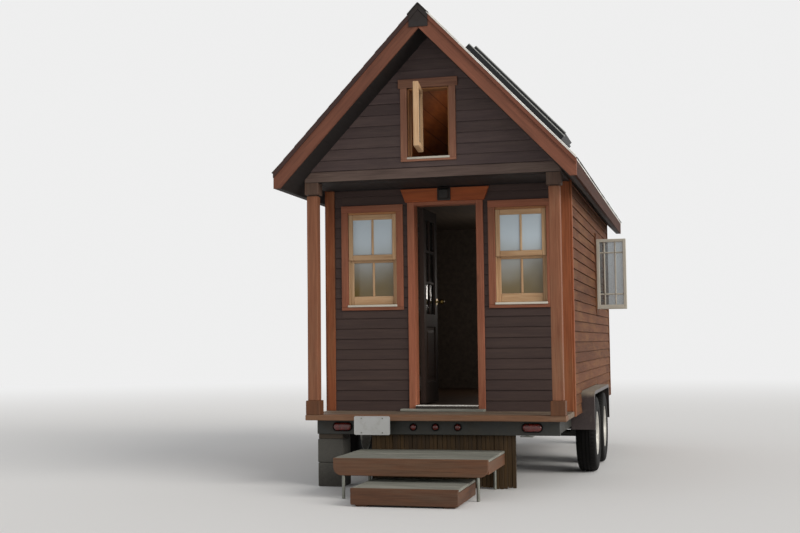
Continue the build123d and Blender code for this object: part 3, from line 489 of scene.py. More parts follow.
def wallFinish():
    # Pine in the loft, grey-brown wood in the room below it and near black outside, told apart by the planes
    # of the faces; outside, the near black is stain and painted shade on the soffits and the porch ceiling.
    # The roof's slopes and the loft's floor share it, and its boards follow the height.
    f = Finish("wallFaces")
    spot = f.here()
    x, y, z = (f.axis(spot, letter) for letter in "XYZ")
    margin, boardHeight = 0.012, 0.105
    outsideInShade = f.maths("MAXIMUM", f.maths("ABSOLUTE", x) > wallX - margin, y > rearY - margin)
    outsideInShade = f.maths("MAXIMUM", outsideInShade, y < porchY + margin)
    outsideInShade = f.maths("MAXIMUM", outsideInShade, (y < doorWallY + margin) * (z < loftTop - margin))
    boards = f.noise(f.stretch(spot, (22, 3, 22)), 1.0, 4.0, 0.6)
    joint = f.soft(f.fromMiddle(z / boardHeight), 0.46, 0.49)
    pine = f.mix(joint * 0.7, f.between(boards, "804a2a", "a86c40"), colour("3a2414"))
    room = f.between(boards, "4a4037", "62564a")
    inner = f.mix(z > loftTop - margin, room, pine)
    # near black outside: stain, and painted shade on the soffits and the porch ceiling
    f.set("Base Color", f.mix(outsideInShade, inner, colour("150f0d")))
    f.set("Roughness", 0.6 + boards * 0.2)
    f.bump(boards - joint, 0.001, 0.5)
    return f.material


def shingles():
    # dark mineral felt: a tone for each tab, and coarse pale and dark grains
    f = Finish("mineralFelt")
    spot = f.attribute("grain", "Vector")
    grit = f.noise(spot, 420.0, 2.0, 0.6)
    blotch = f.noise(spot, 7.0, 4.0, 0.6)
    paint = f.ramp(grit, (0.35, colour("1f1e1d")), (0.55, colour("393634")), (0.72, colour("6b6660")))
    paint = f.mix(1.0, paint, f.grey(f.attribute("tone") * 0.5 + 0.75), "MULTIPLY")
    f.set("Base Color", f.mix(f.soft(blotch, 0.5, 0.75) * 0.35, paint, colour("4d4a3c")))
    f.set("Roughness", 0.85 + (grit - 0.5) * 0.2)
    f.bump(grit, 0.0012, 0.8)
    return f.material


def rubber(name, dust):
    # matt black rubber with a share of brown dust in patches
    f = Finish(name)
    f.set("Specular IOR Level", 0.08)
    spot = f.here()
    cloud = f.noise(spot, 12.0, 5.0, 0.65)
    fine = f.noise(spot, 260.0, 2.0, 0.5)
    share = f.soft(cloud, 0.45, 0.75) * dust
    f.set("Base Color", f.mix(share, f.between(fine, "0a0909", "141312"), colour("332e28")))
    f.set("Roughness", 0.6 + share * 0.3)
    f.bump(fine, 0.0004, 0.4)
    return f.material


# the heights over which the painted reflection in the panes turns from ground colour to sky colour
skyReflection = {"from": 1.65, "to": 2.15, "drift": 0.25}


def glass(name, low, high, cover):
    # panes with a painted reflection, warm and dark low down and paler toward the top like ground and sky;
    # they are nearly opaque
    f = Finish(name, IOR=1.5)
    spot = f.here()
    reflectionNoise = f.noise(spot, 2.5, 2.0, 0.5)
    height = f.soft(f.axis(spot, "Z") + (reflectionNoise - 0.5) * skyReflection["drift"], skyReflection["from"], skyReflection["to"])
    # painted reflection: from the low colour to the high colour with the height
    f.set("Base Color", f.mix(height, colour(low), colour(high)))
    f.set("Roughness", 0.05 + reflectionNoise * 0.05)
    f.set("Alpha", cover + (reflectionNoise - 0.5) * 0.05)
    return f.material


def lens():
    # ribbed red plastic over a darker bowl
    f = Finish("redLens", IOR=1.5)
    f.set("Coat Weight", 0.6)
    spot = f.here()
    ribPitch = 0.0045
    cloud = f.noise(spot, 40.0, 3.0, 0.5)
    f.set("Base Color", f.between(cloud, "430703", "6e1409"))
    f.set("Roughness", 0.18 + cloud * 0.15)
    f.bump(f.fromMiddle(f.axis(spot, "Z") / ribPitch), 0.0012, 0.6)
    return f.material


def plateEnamel():
    # grey enamel with dull patches and small specks
    f = Finish("plateEnamel")
    spot = f.here()
    cloud = f.noise(spot, 14.0, 5.0, 0.65)
    specks = f.noise(spot, 130.0, 2.0, 0.6)
    share = f.soft(cloud, 0.5, 0.8) * 0.5 + f.soft(specks, 0.66, 0.74) * 0.3
    f.set("Base Color", f.mix(share, colour("a9aaa9"), colour("7d776d")))
    f.set("Roughness", 0.38 + share * 0.35)
    f.bump(specks, 0.0003, 0.4)
    return f.material


def masonry():
    # grey concrete: pits, aggregate grains and stains from the ground up
    f = Finish("concreteBlock")
    spot = f.here()
    grit = f.noise(spot, 160.0, 3.0, 0.65)
    cloud = f.noise(spot, 9.0, 5.0, 0.65)
    height = f.soft(f.axis(spot, "Z"), 0.25, 0.0)
    paint = f.ramp(grit, (0.3, colour("353430")), (0.55, colour("4c4a45")), (0.75, colour("646159")))
    stain = f.maths("MAXIMUM", f.soft(cloud, 0.5, 0.75) * 0.5, height * cloud)
    f.set("Base Color", f.mix(stain, paint, colour("332f28")))
    f.set("Roughness", 0.85 + (grit - 0.5) * 0.2)
    f.bump(grit, 0.003, 0.8)
    return f.material


def fenderPaint():
    # brown-black paint, with pale dust that lies where the sheet faces upward
    f = Finish("fenderPaint")
    spot = f.here()
    cloud = f.noise(spot, 11.0, 5.0, 0.65)
    fine = f.noise(spot, 140.0, 3.0, 0.6)
    up = f.axis(f.add("ShaderNodeNewGeometry", out="Normal"), "Z")
    lying = f.soft(up + (cloud - 0.5) * 0.9, 0.25, 0.95) * 0.75
    dust = f.maths("MINIMUM", lying + f.soft(cloud, 0.55, 0.8) * 0.3, 1.0)
    f.set("Base Color", f.mix(dust, f.between(fine, "2a211f", "3d3130"), colour("8b8172")))
    f.set("Roughness", 0.42 + dust * 0.45)
    f.bump(fine, 0.0004, 0.4)
    return f.material


wafers = {"down": 0.1284, "along": 0.124}


def solarCells():
    # dark wafers with gaps between them and two fine busbars on each; the grain holds (v, depth, u)
    f = Finish("solarCells", IOR=1.5)
    f.set("Coat Weight", 1.0)
    spot = f.attribute("grain", "Vector")
    edgeV = f.fromMiddle(f.axis(spot, "X") / wafers["down"])
    edgeU = f.fromMiddle(f.axis(spot, "Z") / wafers["along"])
    gap = f.maths("MAXIMUM", edgeV, edgeU) > 0.485
    bus = f.maths("ABSOLUTE", edgeU - 0.25) < 0.008
    cloud = f.noise(f.stretch(spot, (60, 60, 60)), 1.0, 3.0, 0.6)
    paint = f.mix(bus, f.between(cloud, "141a2c", "1f2a44"), colour("7d8790"))
    f.set("Base Color", f.mix(gap, paint, colour("2b2e33")))
    f.set("Roughness", 0.25)
    return f.material


shingleFinish = shingles()
rubberFinish = rubber("blackRubber", 0.3)
tyreFinish = rubber("tyreRubber", 0.06)
# the panes' colours are painted reflections, the ground's at low and the sky's at high
porchGlass = glass("porchGlass", "6c5d39", "c1cfd8", 0.96)
outerGlass = glass("outerGlass", "6a7274", "7f8c92", 0.55)
doorGlass = glass("doorGlass", "2e3132", "3d4346", 0.40)
lensFinish = lens()
plateFinish = plateEnamel()
masonryFinish = masonry()
fenderFinish = fenderPaint()
cellFinish = solarCells()
wallFaces = wallFinish()

print("finishes ready")


# butt and tip are for the house's ends and for its long sides
siding = {"exposure": 0.0895, "butt": (0.0095, 0.0140), "tip": (0.0038, 0.0050), "groove": 0.007,
          "back": -0.002, "bed": 0.0006, "longest": 4.2, "gap": 0.0012, "waver": 0.0004}


def clapboard(batch, wall, lowEnd, highEnd, course, span, tone):
    # One board: the outline (d, v) of a wedge carried along u. Its face stands out by butt at the course's
    # foot and by tip at its head, with a groove below the next board. Its ends are lowEnd(v) and highEnd(v).
    foot, head = span
    long = int(abs(wall.out[0]))
    butt, tip = siding["butt"][long], siding["tip"][long]
    depth = lambda v: butt + (tip - butt) * (v - course) / siding["exposure"]
    middle = (foot + head) / 2
    top = max(middle, head - siding["groove"])
    ease = min(0.0015, (head - foot) / 4)
    v = np.array([foot, foot, foot + ease, middle, top, top + 0.001, head, head])
    back, bed = siding["back"], siding["bed"]
    d = np.array([back, depth(foot) - ease, depth(foot), depth(middle), depth(top), bed, bed, back])
    low, high = lowEnd(v), highEnd(v)
    length = float(np.max(high - low))
    if length < 0.02:
        return
    count = max(2, int(length / 0.15) + 1)
    share = np.linspace(0, 1, count)[:, None]
    u = low[None] * (1 - share) + high[None] * share
    phase = chance.uniform(0, 6.28, 3)
    bow = siding["waver"] * (np.sin(u * 5.1 + phase[0]) + 0.7 * np.sin(u * 13.7 + phase[1]))
    cup = 1 + 0.05 * np.sin(u * 2.2 + phase[2])
    vv = v[None] + bow * (v < middle)
    dd = np.where(d[None] > 0, d[None] * cup, d[None])
    points = wall.at(u, dd, vv)
    grain = np.stack([vv, dd, u], axis=-1) + chance.uniform(0, 20, 3)
    batch.add(points, tubeFaces(count, 8), tone, grain)


def sideWall(batch, wall, low, high, vSpan, holes):
    # Courses of boards from vSpan's foot to its head between the ends low(v) and high(v). A hole
    # (u0, u1, v0, v1) leaves its own part of each course out, and what is above or below it stays.
    course = vSpan[0]
    while course < vSpan[1] - 0.01:
        head = min(course + siding["exposure"], vSpan[1])
        near = sorted(hole for hole in holes if hole[2] < head and hole[3] > course)
        tone = chance.uniform()
        starts = [None] + [hole[1] for hole in near]
        stops = [hole[0] for hole in near] + [None]
        for start, stop in zip(starts, stops):
            layCourse(batch, wall, low, high, course, (course, head), start, stop, tone)
        for u0, u1, v0, v1 in near:
            for part in ((course, v0), (v1, head)):
                if part[1] - part[0] > 0.004:
                    layCourse(batch, wall, low, high, course, part, u0, u1, tone)
        course += siding["exposure"]


def layCourse(batch, wall, low, high, course, span, start, stop, tone):
    # one run of a course, cut at random into boards of a common length; the first has the course's tone
    lowAt = low if start is None else steady(start)
    highAt = high if stop is None else steady(stop)
    middle = sum(span) / 2
    begin, finish = float(lowAt(np.array(middle))), float(highAt(np.array(middle)))
    cuts = [begin]
    while finish - cuts[-1] > siding["longest"] * 0.6:
        step = chance.uniform(0.35, 1.0) * siding["longest"]
        if finish - cuts[-1] - step < 0.3:
            break
        cuts.append(cuts[-1] + step)
    cuts = cuts[1:]
    lows = [lowAt] + [steady(cut + siding["gap"]) for cut in cuts]
    highs = [steady(cut) for cut in cuts] + [highAt]
    for lowEnd, highEnd in zip(lows, highs):
        clapboard(batch, wall, lowEnd, highEnd, course, span, tone)
        tone = chance.uniform()


def steady(value):
    # the plumb end of a board
    return lambda v: np.full(np.shape(v), value)


def underRoof(side, reach):
    # the end of a gable's boards: the roof's underside, or the wall's own edge where that is nearer
    return lambda v: side * np.minimum((ridgeTop - plumbDepth - np.asarray(v)) / slope, reach)


windows = {"width": 0.440, "bottom": 1.535, "top": 2.338, "centre": 0.656, "trim": 0.060, "trimDepth": 0.022,
           "gableHalf": 0.175, "gableBottom": 2.712, "gableTop": 3.282, "gableTrim": 0.057,
           "gableHead": 0.074, "gableFoot": 0.039,
           "sideLow": 0.575, "sideHigh": 0.875, "sideBottom": 1.510, "sideTop": 2.234}
corner = {"width": 0.075, "depth": 0.020, "return": 0.055, "returnDepth": (-0.002, 0.018)}
doorOuter = {"half": 0.334, "top": 2.410}
lap = 0.004  # how far a board runs behind the trim that stops it, and the gap round the fenders


def trimHole(low, high, bottom, top, side=windows["trim"], foot=windows["trim"], head=windows["trim"]):
    # what the siding leaves out for a window: the opening and its trim, less the lap
    return (low - side + lap, high + side - lap, bottom - foot + lap, top + head - lap)


half = windows["width"] / 2
frontHoles = [trimHole(side * windows["centre"] - half, side * windows["centre"] + half,
                       windows["bottom"], windows["top"]) for side in (-1, 1)]
frontHoles.append((-doorOuter["half"] + lap, doorOuter["half"] - lap, 0.0, doorOuter["top"]))
backHole = trimHole(-half, half, windows["bottom"], windows["top"])
gableHole = trimHole(-windows["gableHalf"], windows["gableHalf"], windows["gableBottom"], windows["gableTop"],
                     windows["gableTrim"], windows["gableFoot"], windows["gableHead"])
sideHole = trimHole(windows["sideLow"], windows["sideHigh"], windows["sideBottom"], windows["sideTop"])
fenderLow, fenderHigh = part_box("fenders")
fenderHole = (fenderLow.y - lap, fenderHigh.y + lap, 0.0, fenderHigh.z + lap)
cornerX = wallX - corner["width"]
sideHead = roofUnderAt(wallX + siding["butt"][1])
gableHead = ridgeTop - plumbDepth

batch = Batch()
sideWall(batch, doorWall, steady(-cornerX), steady(cornerX), (deckTop, ceilingZ), frontHoles)
batch.build("doorWallBoards", porchShadeSiding, slot="siding")
batch = Batch()
sideWall(batch, gableWall, underRoof(-1, wallX), underRoof(1, wallX), (loftTop, gableHead), [gableHole])
batch.build("gableBoards", sidingFinish, slot="siding")
batch = Batch()
for wall in (rightWall, leftWall):
    sideWall(batch, wall, steady(doorWallY + corner["return"]), steady(rearY - corner["return"]),
             (frameTop, sideHead), [fenderHole, sideHole])
# the long sides take the painted sunlight finish
batch.build("sideBoards", sunPaintedSiding, slot="siding")
batch = Batch()
sideWall(batch, backWall, underRoof(-1, cornerX), underRoof(1, cornerX), (frameTop, gableHead),
         [backHole, gableHole])
batch.build("backBoards", sidingFinish, slot="siding")
print("clapboards laid")


# Boards and blocks of the front

def slab(batch, wall, outline, d, edge=0.003, tone=None):
    # An outline of (u, v) points carried from depth d0 to d1; both ends close in by the edge. A corner steps
    # inward by edge * (n1 + n2) / (1 + n1 . n2), with n1 and n2 the normals of the sides that meet there.
    outline = np.array(outline, float)
    side = np.roll(outline, -1, axis=0) - outline
    side /= np.linalg.norm(side, axis=1)[:, None]
    area = np.sum(outline[:, 0] * np.roll(outline[:, 1], -1) - np.roll(outline[:, 0], -1) * outline[:, 1])
    normal = np.stack([-side[:, 1], side[:, 0]], axis=1) * math.copysign(1, area)
    before = np.roll(normal, 1, axis=0)
    inward = (normal + before) / (1 + np.sum(normal * before, axis=1))[:, None]
    shrink = np.array([edge, 0, 0, edge])[:, None, None]
    rings = outline[None] + inward[None] * shrink
    depths = np.array([d[0], d[0] + edge, d[1] - edge, d[1]])[:, None]
    depths = np.broadcast_to(depths, rings.shape[:2])
    points = wall.at(rings[..., 0], depths, rings[..., 1])
    grain = np.stack([rings[..., 1], depths, rings[..., 0]], axis=-1) + chance.uniform(0, 20, 3)
    batch.add(points, tubeFaces(4, len(outline)), chance.uniform() if tone is None else tone, grain)


def layered(batch, wall, centre, size, radius, profile, arc=7):
    # A rounded rectangle of corner radius r, shrunk by k where it stands at depth d, for each (k, d) of the
    # profile: point = centre + corner sign * (half size - r - max(k - r, 0)) + max(r - k, 0) * (cos t, sin t)
    quarter = np.linspace(0, math.pi / 2, arc + 1)
    t = np.concatenate([quarter + turn * math.pi / 2 for turn in range(4)])[None]
    signU = np.repeat([1, -1, -1, 1], arc + 1)[None]
    signV = np.repeat([1, 1, -1, -1], arc + 1)[None]
    k, d = np.array(profile, float).T[:, :, None]
    r = np.maximum(radius - k, 0.0004)
    shrink = np.maximum(k - radius, 0)
    flatU, flatV = (max(length / 2 - radius, 0.0005) for length in size)
    u = centre[0] + signU * (flatU - shrink) + r * np.cos(t)
    v = centre[1] + signV * (flatV - shrink) + r * np.sin(t)
    depth = np.broadcast_to(d, u.shape)
    grain = np.stack([v, depth, u], axis=-1)
    batch.add(wall.at(u, depth, v), tubeFaces(len(profile), t.size), grain=grain)


def picture(batch, wall, u, v, trim, d, ears=0.0, foot=None, head=None, low=None):
    # four flat boards round an opening; the head and the foot run past the sides, and low is the foot's start
    foot = trim if foot is None else foot
    head = trim if head is None else head
    low = v[0] - trim if low is None else low
    wall.stick(batch, (u[0] - trim - ears, u[1] + trim + ears), (d[0], d[1] + 0.002), (v[1], v[1] + head))
    wall.stick(batch, (u[0] - trim, u[1] + trim), d, (low, low + foot))
    for side in ((u[0] - trim, u[0]), (u[1], u[1] + trim)):
        wall.stick(batch, side, d, (low + foot, v[1]), along="v")


def sash(batch, panes, wall, u, d, v, stile, rails, bars=(), barWidth=0.020, edge=0.004):
    # Stiles run the full height and rails stand between them; bars are ("u" or "v", middle), and the pane is
    # a thin slab in the middle of the depth.
    for side in ends(u, stile):
        wall.stick(batch, side, d, v, along="v", edge=edge)
    inner = (u[0] + stile, u[1] - stile)
    glass = (v[0] + rails[0], v[1] - rails[1])
    wall.stick(batch, inner, d, (v[0], glass[0]), edge=edge)
    wall.stick(batch, inner, d, (glass[1], v[1]), edge=edge)
    middle = sum(d) / 2
    barDepth = (middle - (d[1] - d[0]) * 0.34, middle + (d[1] - d[0]) * 0.34)
    for way, at in bars:
        span = (at - barWidth / 2, at + barWidth / 2)
        if way == "v":
            wall.stick(batch, span, barDepth, glass, along="v", edge=edge)
        else:
            wall.stick(batch, inner, barDepth, span, edge=edge)
    size = (inner[1] - inner[0], glass[1] - glass[0])
    layered(panes, wall, (sum(inner) / 2, sum(glass) / 2), size, 0.001,
            [(0.0, middle - 0.002), (0.0, middle + 0.002)], arc=1)


trims, sideTrims, gableTrims, sills, liners = (Batch() for _ in range(5))
sashes, porchPanes, outerPanes = Batch(), Batch(), Batch()
hung = {"stile": 0.040, "topRail": 0.046, "meeting": 0.048, "lowerMeeting": 0.022, "bottomRail": 0.076,
        "middle": 1.915, "overlap": 0.020, "stop": 0.020, "sillTop": 1.523, "sillThick": 0.019,
        "upper": (-0.021, 0.009), "lower": (-0.050, -0.023), "liner": (-0.050, 0.010), "nose": 0.030,
        "channel": 0.010, "channelDepth": (-0.022, 0.006), "play": 0.001, "ear": 0.004}


def doubleHung(wall, centre):
    # the upper sash stands in front; the lower one is set back behind it and rests on the pale sill
    opening = (centre - half, centre + half)
    u = (opening[0] + hung["play"], opening[1] - hung["play"])
    top = windows["top"] - hung["stop"]
    wall.stick(liners, opening, hung["liner"], (top, windows["top"]))
    bars = [("v", centre)]
    panes = outerPanes if wall is backWall else porchPanes
    sash(sashes, panes, wall, u, hung["upper"], (hung["middle"], top), hung["stile"],
         (hung["meeting"], hung["topRail"]), bars)
    sash(sashes, panes, wall, u, hung["lower"], (hung["sillTop"], hung["middle"] + hung["overlap"]),
         hung["stile"], (hung["bottomRail"], hung["lowerMeeting"] + hung["overlap"]), bars)
    for side in ends(opening, hung["channel"]):
        wall.stick(sashes, side, hung["channelDepth"], (hung["sillTop"], hung["middle"] - hung["play"]),
                   along="v")
    sill = (hung["sillTop"] - hung["sillThick"], hung["sillTop"])
    wall.stick(sills, (opening[0] - hung["ear"], opening[1] + hung["ear"]), (hung["liner"][0], hung["nose"]),
               sill, tone=0.5)
    picture(trims, wall, opening, (windows["bottom"], windows["top"]), windows["trim"],
            (0, windows["trimDepth"]), foot=sill[0] - windows["bottom"] + windows["trim"])


for wall, centre in ((doorWall, -windows["centre"]), (doorWall, windows["centre"]), (backWall, 0.0)):
    doubleHung(wall, centre)

gable = {"ears": 0.018, "foot": 0.018, "sillTop": 2.708, "sillThick": 0.017, "sillDepth": (-0.090, 0.026),
         "stile": 0.042, "hinge": -0.060, "open": 83.0, "width": 0.335, "thick": 0.045, "bottom": 2.742,
         "top": 3.259, "clearance": 0.003, "lining": 0.012, "liningDepth": (-0.100, 0.0),
         "rearSash": (-0.045, 0.009)}
gableU = (-windows["gableHalf"], windows["gableHalf"])
gableV = (windows["gableBottom"], windows["gableTop"])
for wall in (gableWall, backWall):
    picture(gableTrims, wall, gableU, gableV, windows["gableTrim"], (0, windows["trimDepth"]),
            gable["ears"], gable["foot"], windows["gableHead"], gableV[0] - windows["gableFoot"])
    wall.stick(sills, (gableU[0] - hung["ear"], gableU[1] + hung["ear"]), gable["sillDepth"],
               (gable["sillTop"] - gable["sillThick"], gable["sillTop"]), tone=0.7)
for side in ends(gableU, gable["lining"]):
    gableWall.stick(liners, side, gable["liningDepth"], gableV, along="v", tone=0.9)
gableWall.stick(liners, gableU, gable["liningDepth"], (gableV[1] - gable["lining"], gableV[1]), tone=0.7)
sash(sashes, outerPanes, backWall, (gableU[0] + hung["play"], gableU[1] - hung["play"]), gable["rearSash"],
     (gable["sillTop"], gableV[1]), gable["stile"], (gable["stile"], gable["stile"]))

turn = math.radians(gable["open"])
casementY = porchY - windows["trimDepth"] - gable["clearance"] - gable["thick"] / 2 * math.cos(turn)
casement = Wall((gable["hinge"], casementY, 0), (math.cos(turn), -math.sin(turn), 0),
                (math.sin(turn), math.cos(turn), 0))
openSash = Batch()
sash(openSash, outerPanes, casement, (0, gable["width"]), (-gable["thick"] / 2, gable["thick"] / 2),
     (gable["bottom"], gable["top"]), gable["stile"], (gable["stile"], gable["stile"]))
openSash.build("openCasement", paleWood, slot="pale_wood", replaces=("gable_sash",))

sidePanes = {"frame": 0.032, "foot": 0.045, "thick": 0.036, "reach": 0.300, "bars": (0.080, 0.190),
             "rows": (1.664, 2.093), "bar": 0.014}
sideSashes = Batch()
for side in (-1, 1):
    outer = Wall((side * (wallX + windows["trimDepth"]), windows["sideLow"], 0), (side, 0, 0), (0, -1, 0))
    bars = [("v", at) for at in sidePanes["bars"]] + [("u", at) for at in sidePanes["rows"]]
    depth = (-sidePanes["thick"] / 2, sidePanes["thick"] / 2)
    height = (windows["sideBottom"], windows["sideTop"])
    sash(sideSashes, outerPanes, outer, (0, sidePanes["reach"]), depth, height, sidePanes["frame"],
         (sidePanes["foot"], sidePanes["frame"]), bars, sidePanes["bar"], 0.003)
    picture(sideTrims, rightWall if side > 0 else leftWall, (windows["sideLow"], windows["sideHigh"]), height,
            windows["trim"], (0, windows["trimDepth"]))
sideSashes.build("sideCasements", sideSashPaint, slot="grey_white_paint", replaces=("side_sashes",))
trims.build("windowTrims", windowTrimWood, slot="trim_wood", replaces=("window_trims",))
gableTrims.build("gableTrims", gableTrimWood, slot="trim_wood")
sashes.build("hungSashes", paleWood, slot="pale_wood", replaces=("closed_windows",))
sills.build("windowSills", sillPaint, slot="grey_white_paint")
liners.build("windowLiners", linerWood, slot="trim_wood")
porchPanes.build("porchPanes", porchGlass, slot="glass", replaces=("window_glass",))
outerPanes.build("outerPanes", outerGlass, slot="glass")
print("windows hung")

door = {"half": 0.273, "casing": 0.061, "casingDepth": 0.022, "head": 2.380, "headGap": 0.030,
        "headerHeight": 0.114, "headerHalf": (0.348, 0.390), "headerDepth": 0.040, "jamb": 0.020,
        "leafGap": 0.0015, "nose": 0.052, "sillHeight": 0.045, "plank": (-0.393, 0.337),
        "plankDepth": (0.022, 0.120), "plankThick": 0.022, "block": (0.116, 0.112, 0.034),
        "threshold": 0.047, "thresholdThick": 0.006}
batch = Batch()
doorSpan = (-door["half"], door["half"])
casingTop = door["head"] + door["headGap"]
jambBack = door["leafGap"] - roomDepth  # the jambs stop short of the closed leaf's straps
for side in (-1, 1):
    span = sorted((side * door["half"], side * (door["half"] + door["casing"])))
    doorWall.stick(batch, span, (0, door["casingDepth"]), (deckTop, casingTop), along="v", stations=8,
                   waver=0.0006)
    jamb = sorted((side * door["half"], side * (door["half"] + door["jamb"])))
    doorWall.stick(batch, jamb, (jambBack, 0.0), (deckTop + 0.05, door["head"] + door["jamb"]), along="v")
doorWall.stick(batch, doorSpan, (jambBack, door["casingDepth"]), (door["head"], casingTop))
batch.build("doorCasing", trimWood, slot="trim_wood", replaces=("door_casing",))
batch = Batch()
low, high = door["headerHalf"]
headerTop, headerFace = casingTop + door["headerHeight"], door["headerDepth"]
slab(batch, doorWall, [(-low, casingTop), (low, casingTop), (high, headerTop), (-high, headerTop)],
     (0, headerFace))
batch.build("doorHeader", headerWood, slot="trim_wood", replaces=("door_header",))
batch = Batch()
width, height, depth = door["block"]
layered(batch, doorWall, (0, casingTop + 0.002 + height / 2), (width, height), 0.008,
        [(0, headerFace - 0.002), (0, headerFace + 0.010), (0.010, headerFace + 0.014),
         (0.014, headerFace + depth - 0.008), (0.022, headerFace + depth)])
batch.build("headerBlock", blackSteel, slot="steel_fittings")
batch = Batch()
sillTop = deckTop + door["sillHeight"]
doorWall.stick(batch, (-door["half"] - door["jamb"], door["half"] + door["jamb"]), (-roomDepth, 0.0),
               (frameTop, sillTop))
doorWall.stick(batch, doorSpan, (-0.001, door["nose"] - 0.006), (deckTop, sillTop))
batch.build("doorSill", postDark, slot="deck_wood", replaces=("door_sill",))
batch = Batch()
doorWall.stick(batch, door["plank"], door["plankDepth"], (deckTop, deckTop + door["plankThick"]), edge=0.005,
               stations=16, waver=0.0016)
batch.build("doorPlank", stepTopWood, slot="deck_wood")
batch = Batch()
layered(batch, doorWall, (0, deckTop + door["threshold"]), (2 * door["half"] - 0.004, door["thresholdThick"]),
        0.002, [(0.001, -0.055), (0, -0.05), (0, door["nose"] - 0.002), (0.001, door["nose"])], arc=2)
batch.build("threshold", dripMetal, slot="alloy")

posts = {"shaft": 0.089, "block": 0.118, "capitalFoot": 2.436, "plinthTop": 0.718, "neck": 0.010,
         "neckIn": 0.008}
capitals, plinths, shafts = Batch(), Batch(), Batch()
postLow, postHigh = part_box("porch_posts")
for side in (-1, 1):
    x = side * (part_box("post_blocks")[1].x - posts["block"] / 2)
    span = (x - posts["block"] / 2, x + posts["block"] / 2)
    depth = (-posts["block"], 0)
    gableWall.stick(capitals, span, depth, (posts["capitalFoot"], ceilingZ), along="v", edge=0.003)
    gableWall.stick(plinths, span, depth, (deckTop, posts["plinthTop"]), along="v", edge=0.004)
    shaft = (x - posts["shaft"] / 2, x + posts["shaft"] / 2)
    shaftDepth = (porchY - postHigh.y, porchY - postLow.y)
    gableWall.stick(shafts, shaft, shaftDepth, (posts["plinthTop"], posts["capitalFoot"] - posts["neck"]),
                    along="v", edge=0.003, stations=14, waver=0.0005, tone=0.5)
    neck, neckDepth = ((low + posts["neckIn"], high - posts["neckIn"]) for low, high in (shaft, shaftDepth))
    gableWall.stick(capitals, neck, neckDepth, (posts["capitalFoot"] - posts["neck"], posts["capitalFoot"]),
                    along="v", tone=0.0)
capitals.build("postCapitals", capitalWood, slot="frame_wood", replaces=("post_blocks",))
plinths.build("postPlinths", plinthWood, slot="frame_wood")
shafts.build("postShafts", frameWood, slot="frame_wood", replaces=("porch_posts",))
refined("porch_front_beam", "frontBeam", beamAlongX, 0.005)
refined("porch_side_beams", "sideBeams", beamAlongY, 0.005)

batch = Batch()
for wall, foot in ((doorWall, deckTop), (backWall, frameTop)):
    for side in (-1, 1):
        span = sorted((side * wallX, side * cornerX))
        wall.stick(batch, span, (0, corner["depth"]), (foot, ceilingZ), along="v", stations=10, waver=0.0006)
for wall in (rightWall, leftWall):
    for start, into in ((doorWallY, batch), (rearY - corner["return"], sideTrims)):
        span = (start, start + corner["return"])
        wall.stick(into, span, corner["returnDepth"], (frameTop, ceilingZ + 0.03), along="v", stations=10,
                   waver=0.0006)
batch.build("cornerBoards", cornerWood, slot="trim_wood", replaces=("corner_boards",))
sideTrims.build("sideTrims", sunPaintedSiding, slot="trim_wood")

deck = {"boards": 4, "gap": 0.005, "edge": 0.004}
batch, edgeBoard = Batch(), Batch()
deckLow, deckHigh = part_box("porch_deck")
pitch = (deckHigh.y - deckLow.y + deck["gap"]) / deck["boards"]
for number in range(deck["boards"]):
    start = deckLow.y + number * pitch
    depth = (porchY - start - pitch + deck["gap"], porchY - start)
    gableWall.stick(batch if number else edgeBoard, (deckLow.x, deckHigh.x), depth, (deckLow.z, deckHigh.z),
                    edge=deck["edge"], stations=16, waver=0.0008)
batch.build("deckBoards", deckWood, slot="deck_wood", replaces=("porch_deck",))
edgeBoard.build("deckEdge", edgeWood, slot="deck_wood")
print("front boards fixed")


# Roof edges and covering

angle = math.atan(slope)
eaveDistance = eaveX * slopeLength

# a slope's u runs back along the ridge, its v down the slope, and d stands out from the roof's top plane
slopes = {side: Wall((0, 0, ridgeTop), (0, 1, 0), (side * math.sin(angle), 0, math.cos(angle)),
                     (side * math.cos(angle), 0, -math.sin(angle))) for side in (1, -1)}
rightSlope = slopes[1]

covering = {"exposure": 0.143, "tab": 0.305, "gap": 0.007, "butt": 0.005, "overhang": 0.012, "rear": 0.018,
            "jitter": 0.0025, "capExposure": 0.150, "capLength": 0.290, "capHalf": 0.088}


def tab(batch, wall, u, butt, reach):
    # a thin wedge on the slope: (v, d) runs from the hidden head at d = 0.001 to the butt at d = 0.005
    lift = covering["butt"] + chance.uniform(-0.0008, 0.0012)
    v = np.array([butt - reach, butt, butt, butt - reach])
    d = np.array([0.0012, lift, 0.0004, -0.001])
    vv, dd = np.broadcast_to(v, (2, 4)), np.broadcast_to(d, (2, 4))
    uu = np.repeat(np.array(u)[:, None], 4, axis=1)
    grain = np.stack([uu, vv, dd], axis=-1) + chance.uniform(0, 20, 3)
    batch.add(wall.at(uu, dd, vv), tubeFaces(2, 4), chance.uniform(), grain)


def shingled(batch, wall, front):
    # courses of tabs from the eave up to the ridge, each cut at a random place
    butt = eaveDistance + covering["overhang"]
    while butt > 0.03:
        u = front - chance.uniform(0.02, covering["tab"])
        while u < roofRearY + 0.02:
            stop = u + covering["tab"]
            low, high = max(u, front), min(stop - covering["gap"], roofRearY + covering["rear"])
            if high - low > 0.02:
                tab(batch, wall, (low, high), butt + chance.uniform(-covering["jitter"], covering["jitter"]),
                    min(covering["exposure"] + 0.02, butt - 0.004))
            u = stop
        butt -= covering["exposure"]


batch = Batch()
for side, past in ((1, 0.004), (-1, 0.007)):
    shingled(batch, slopes[side], roofFrontY - roof["barge"] - past)
batch.build("shingles", shingleFinish, slot="roofing")


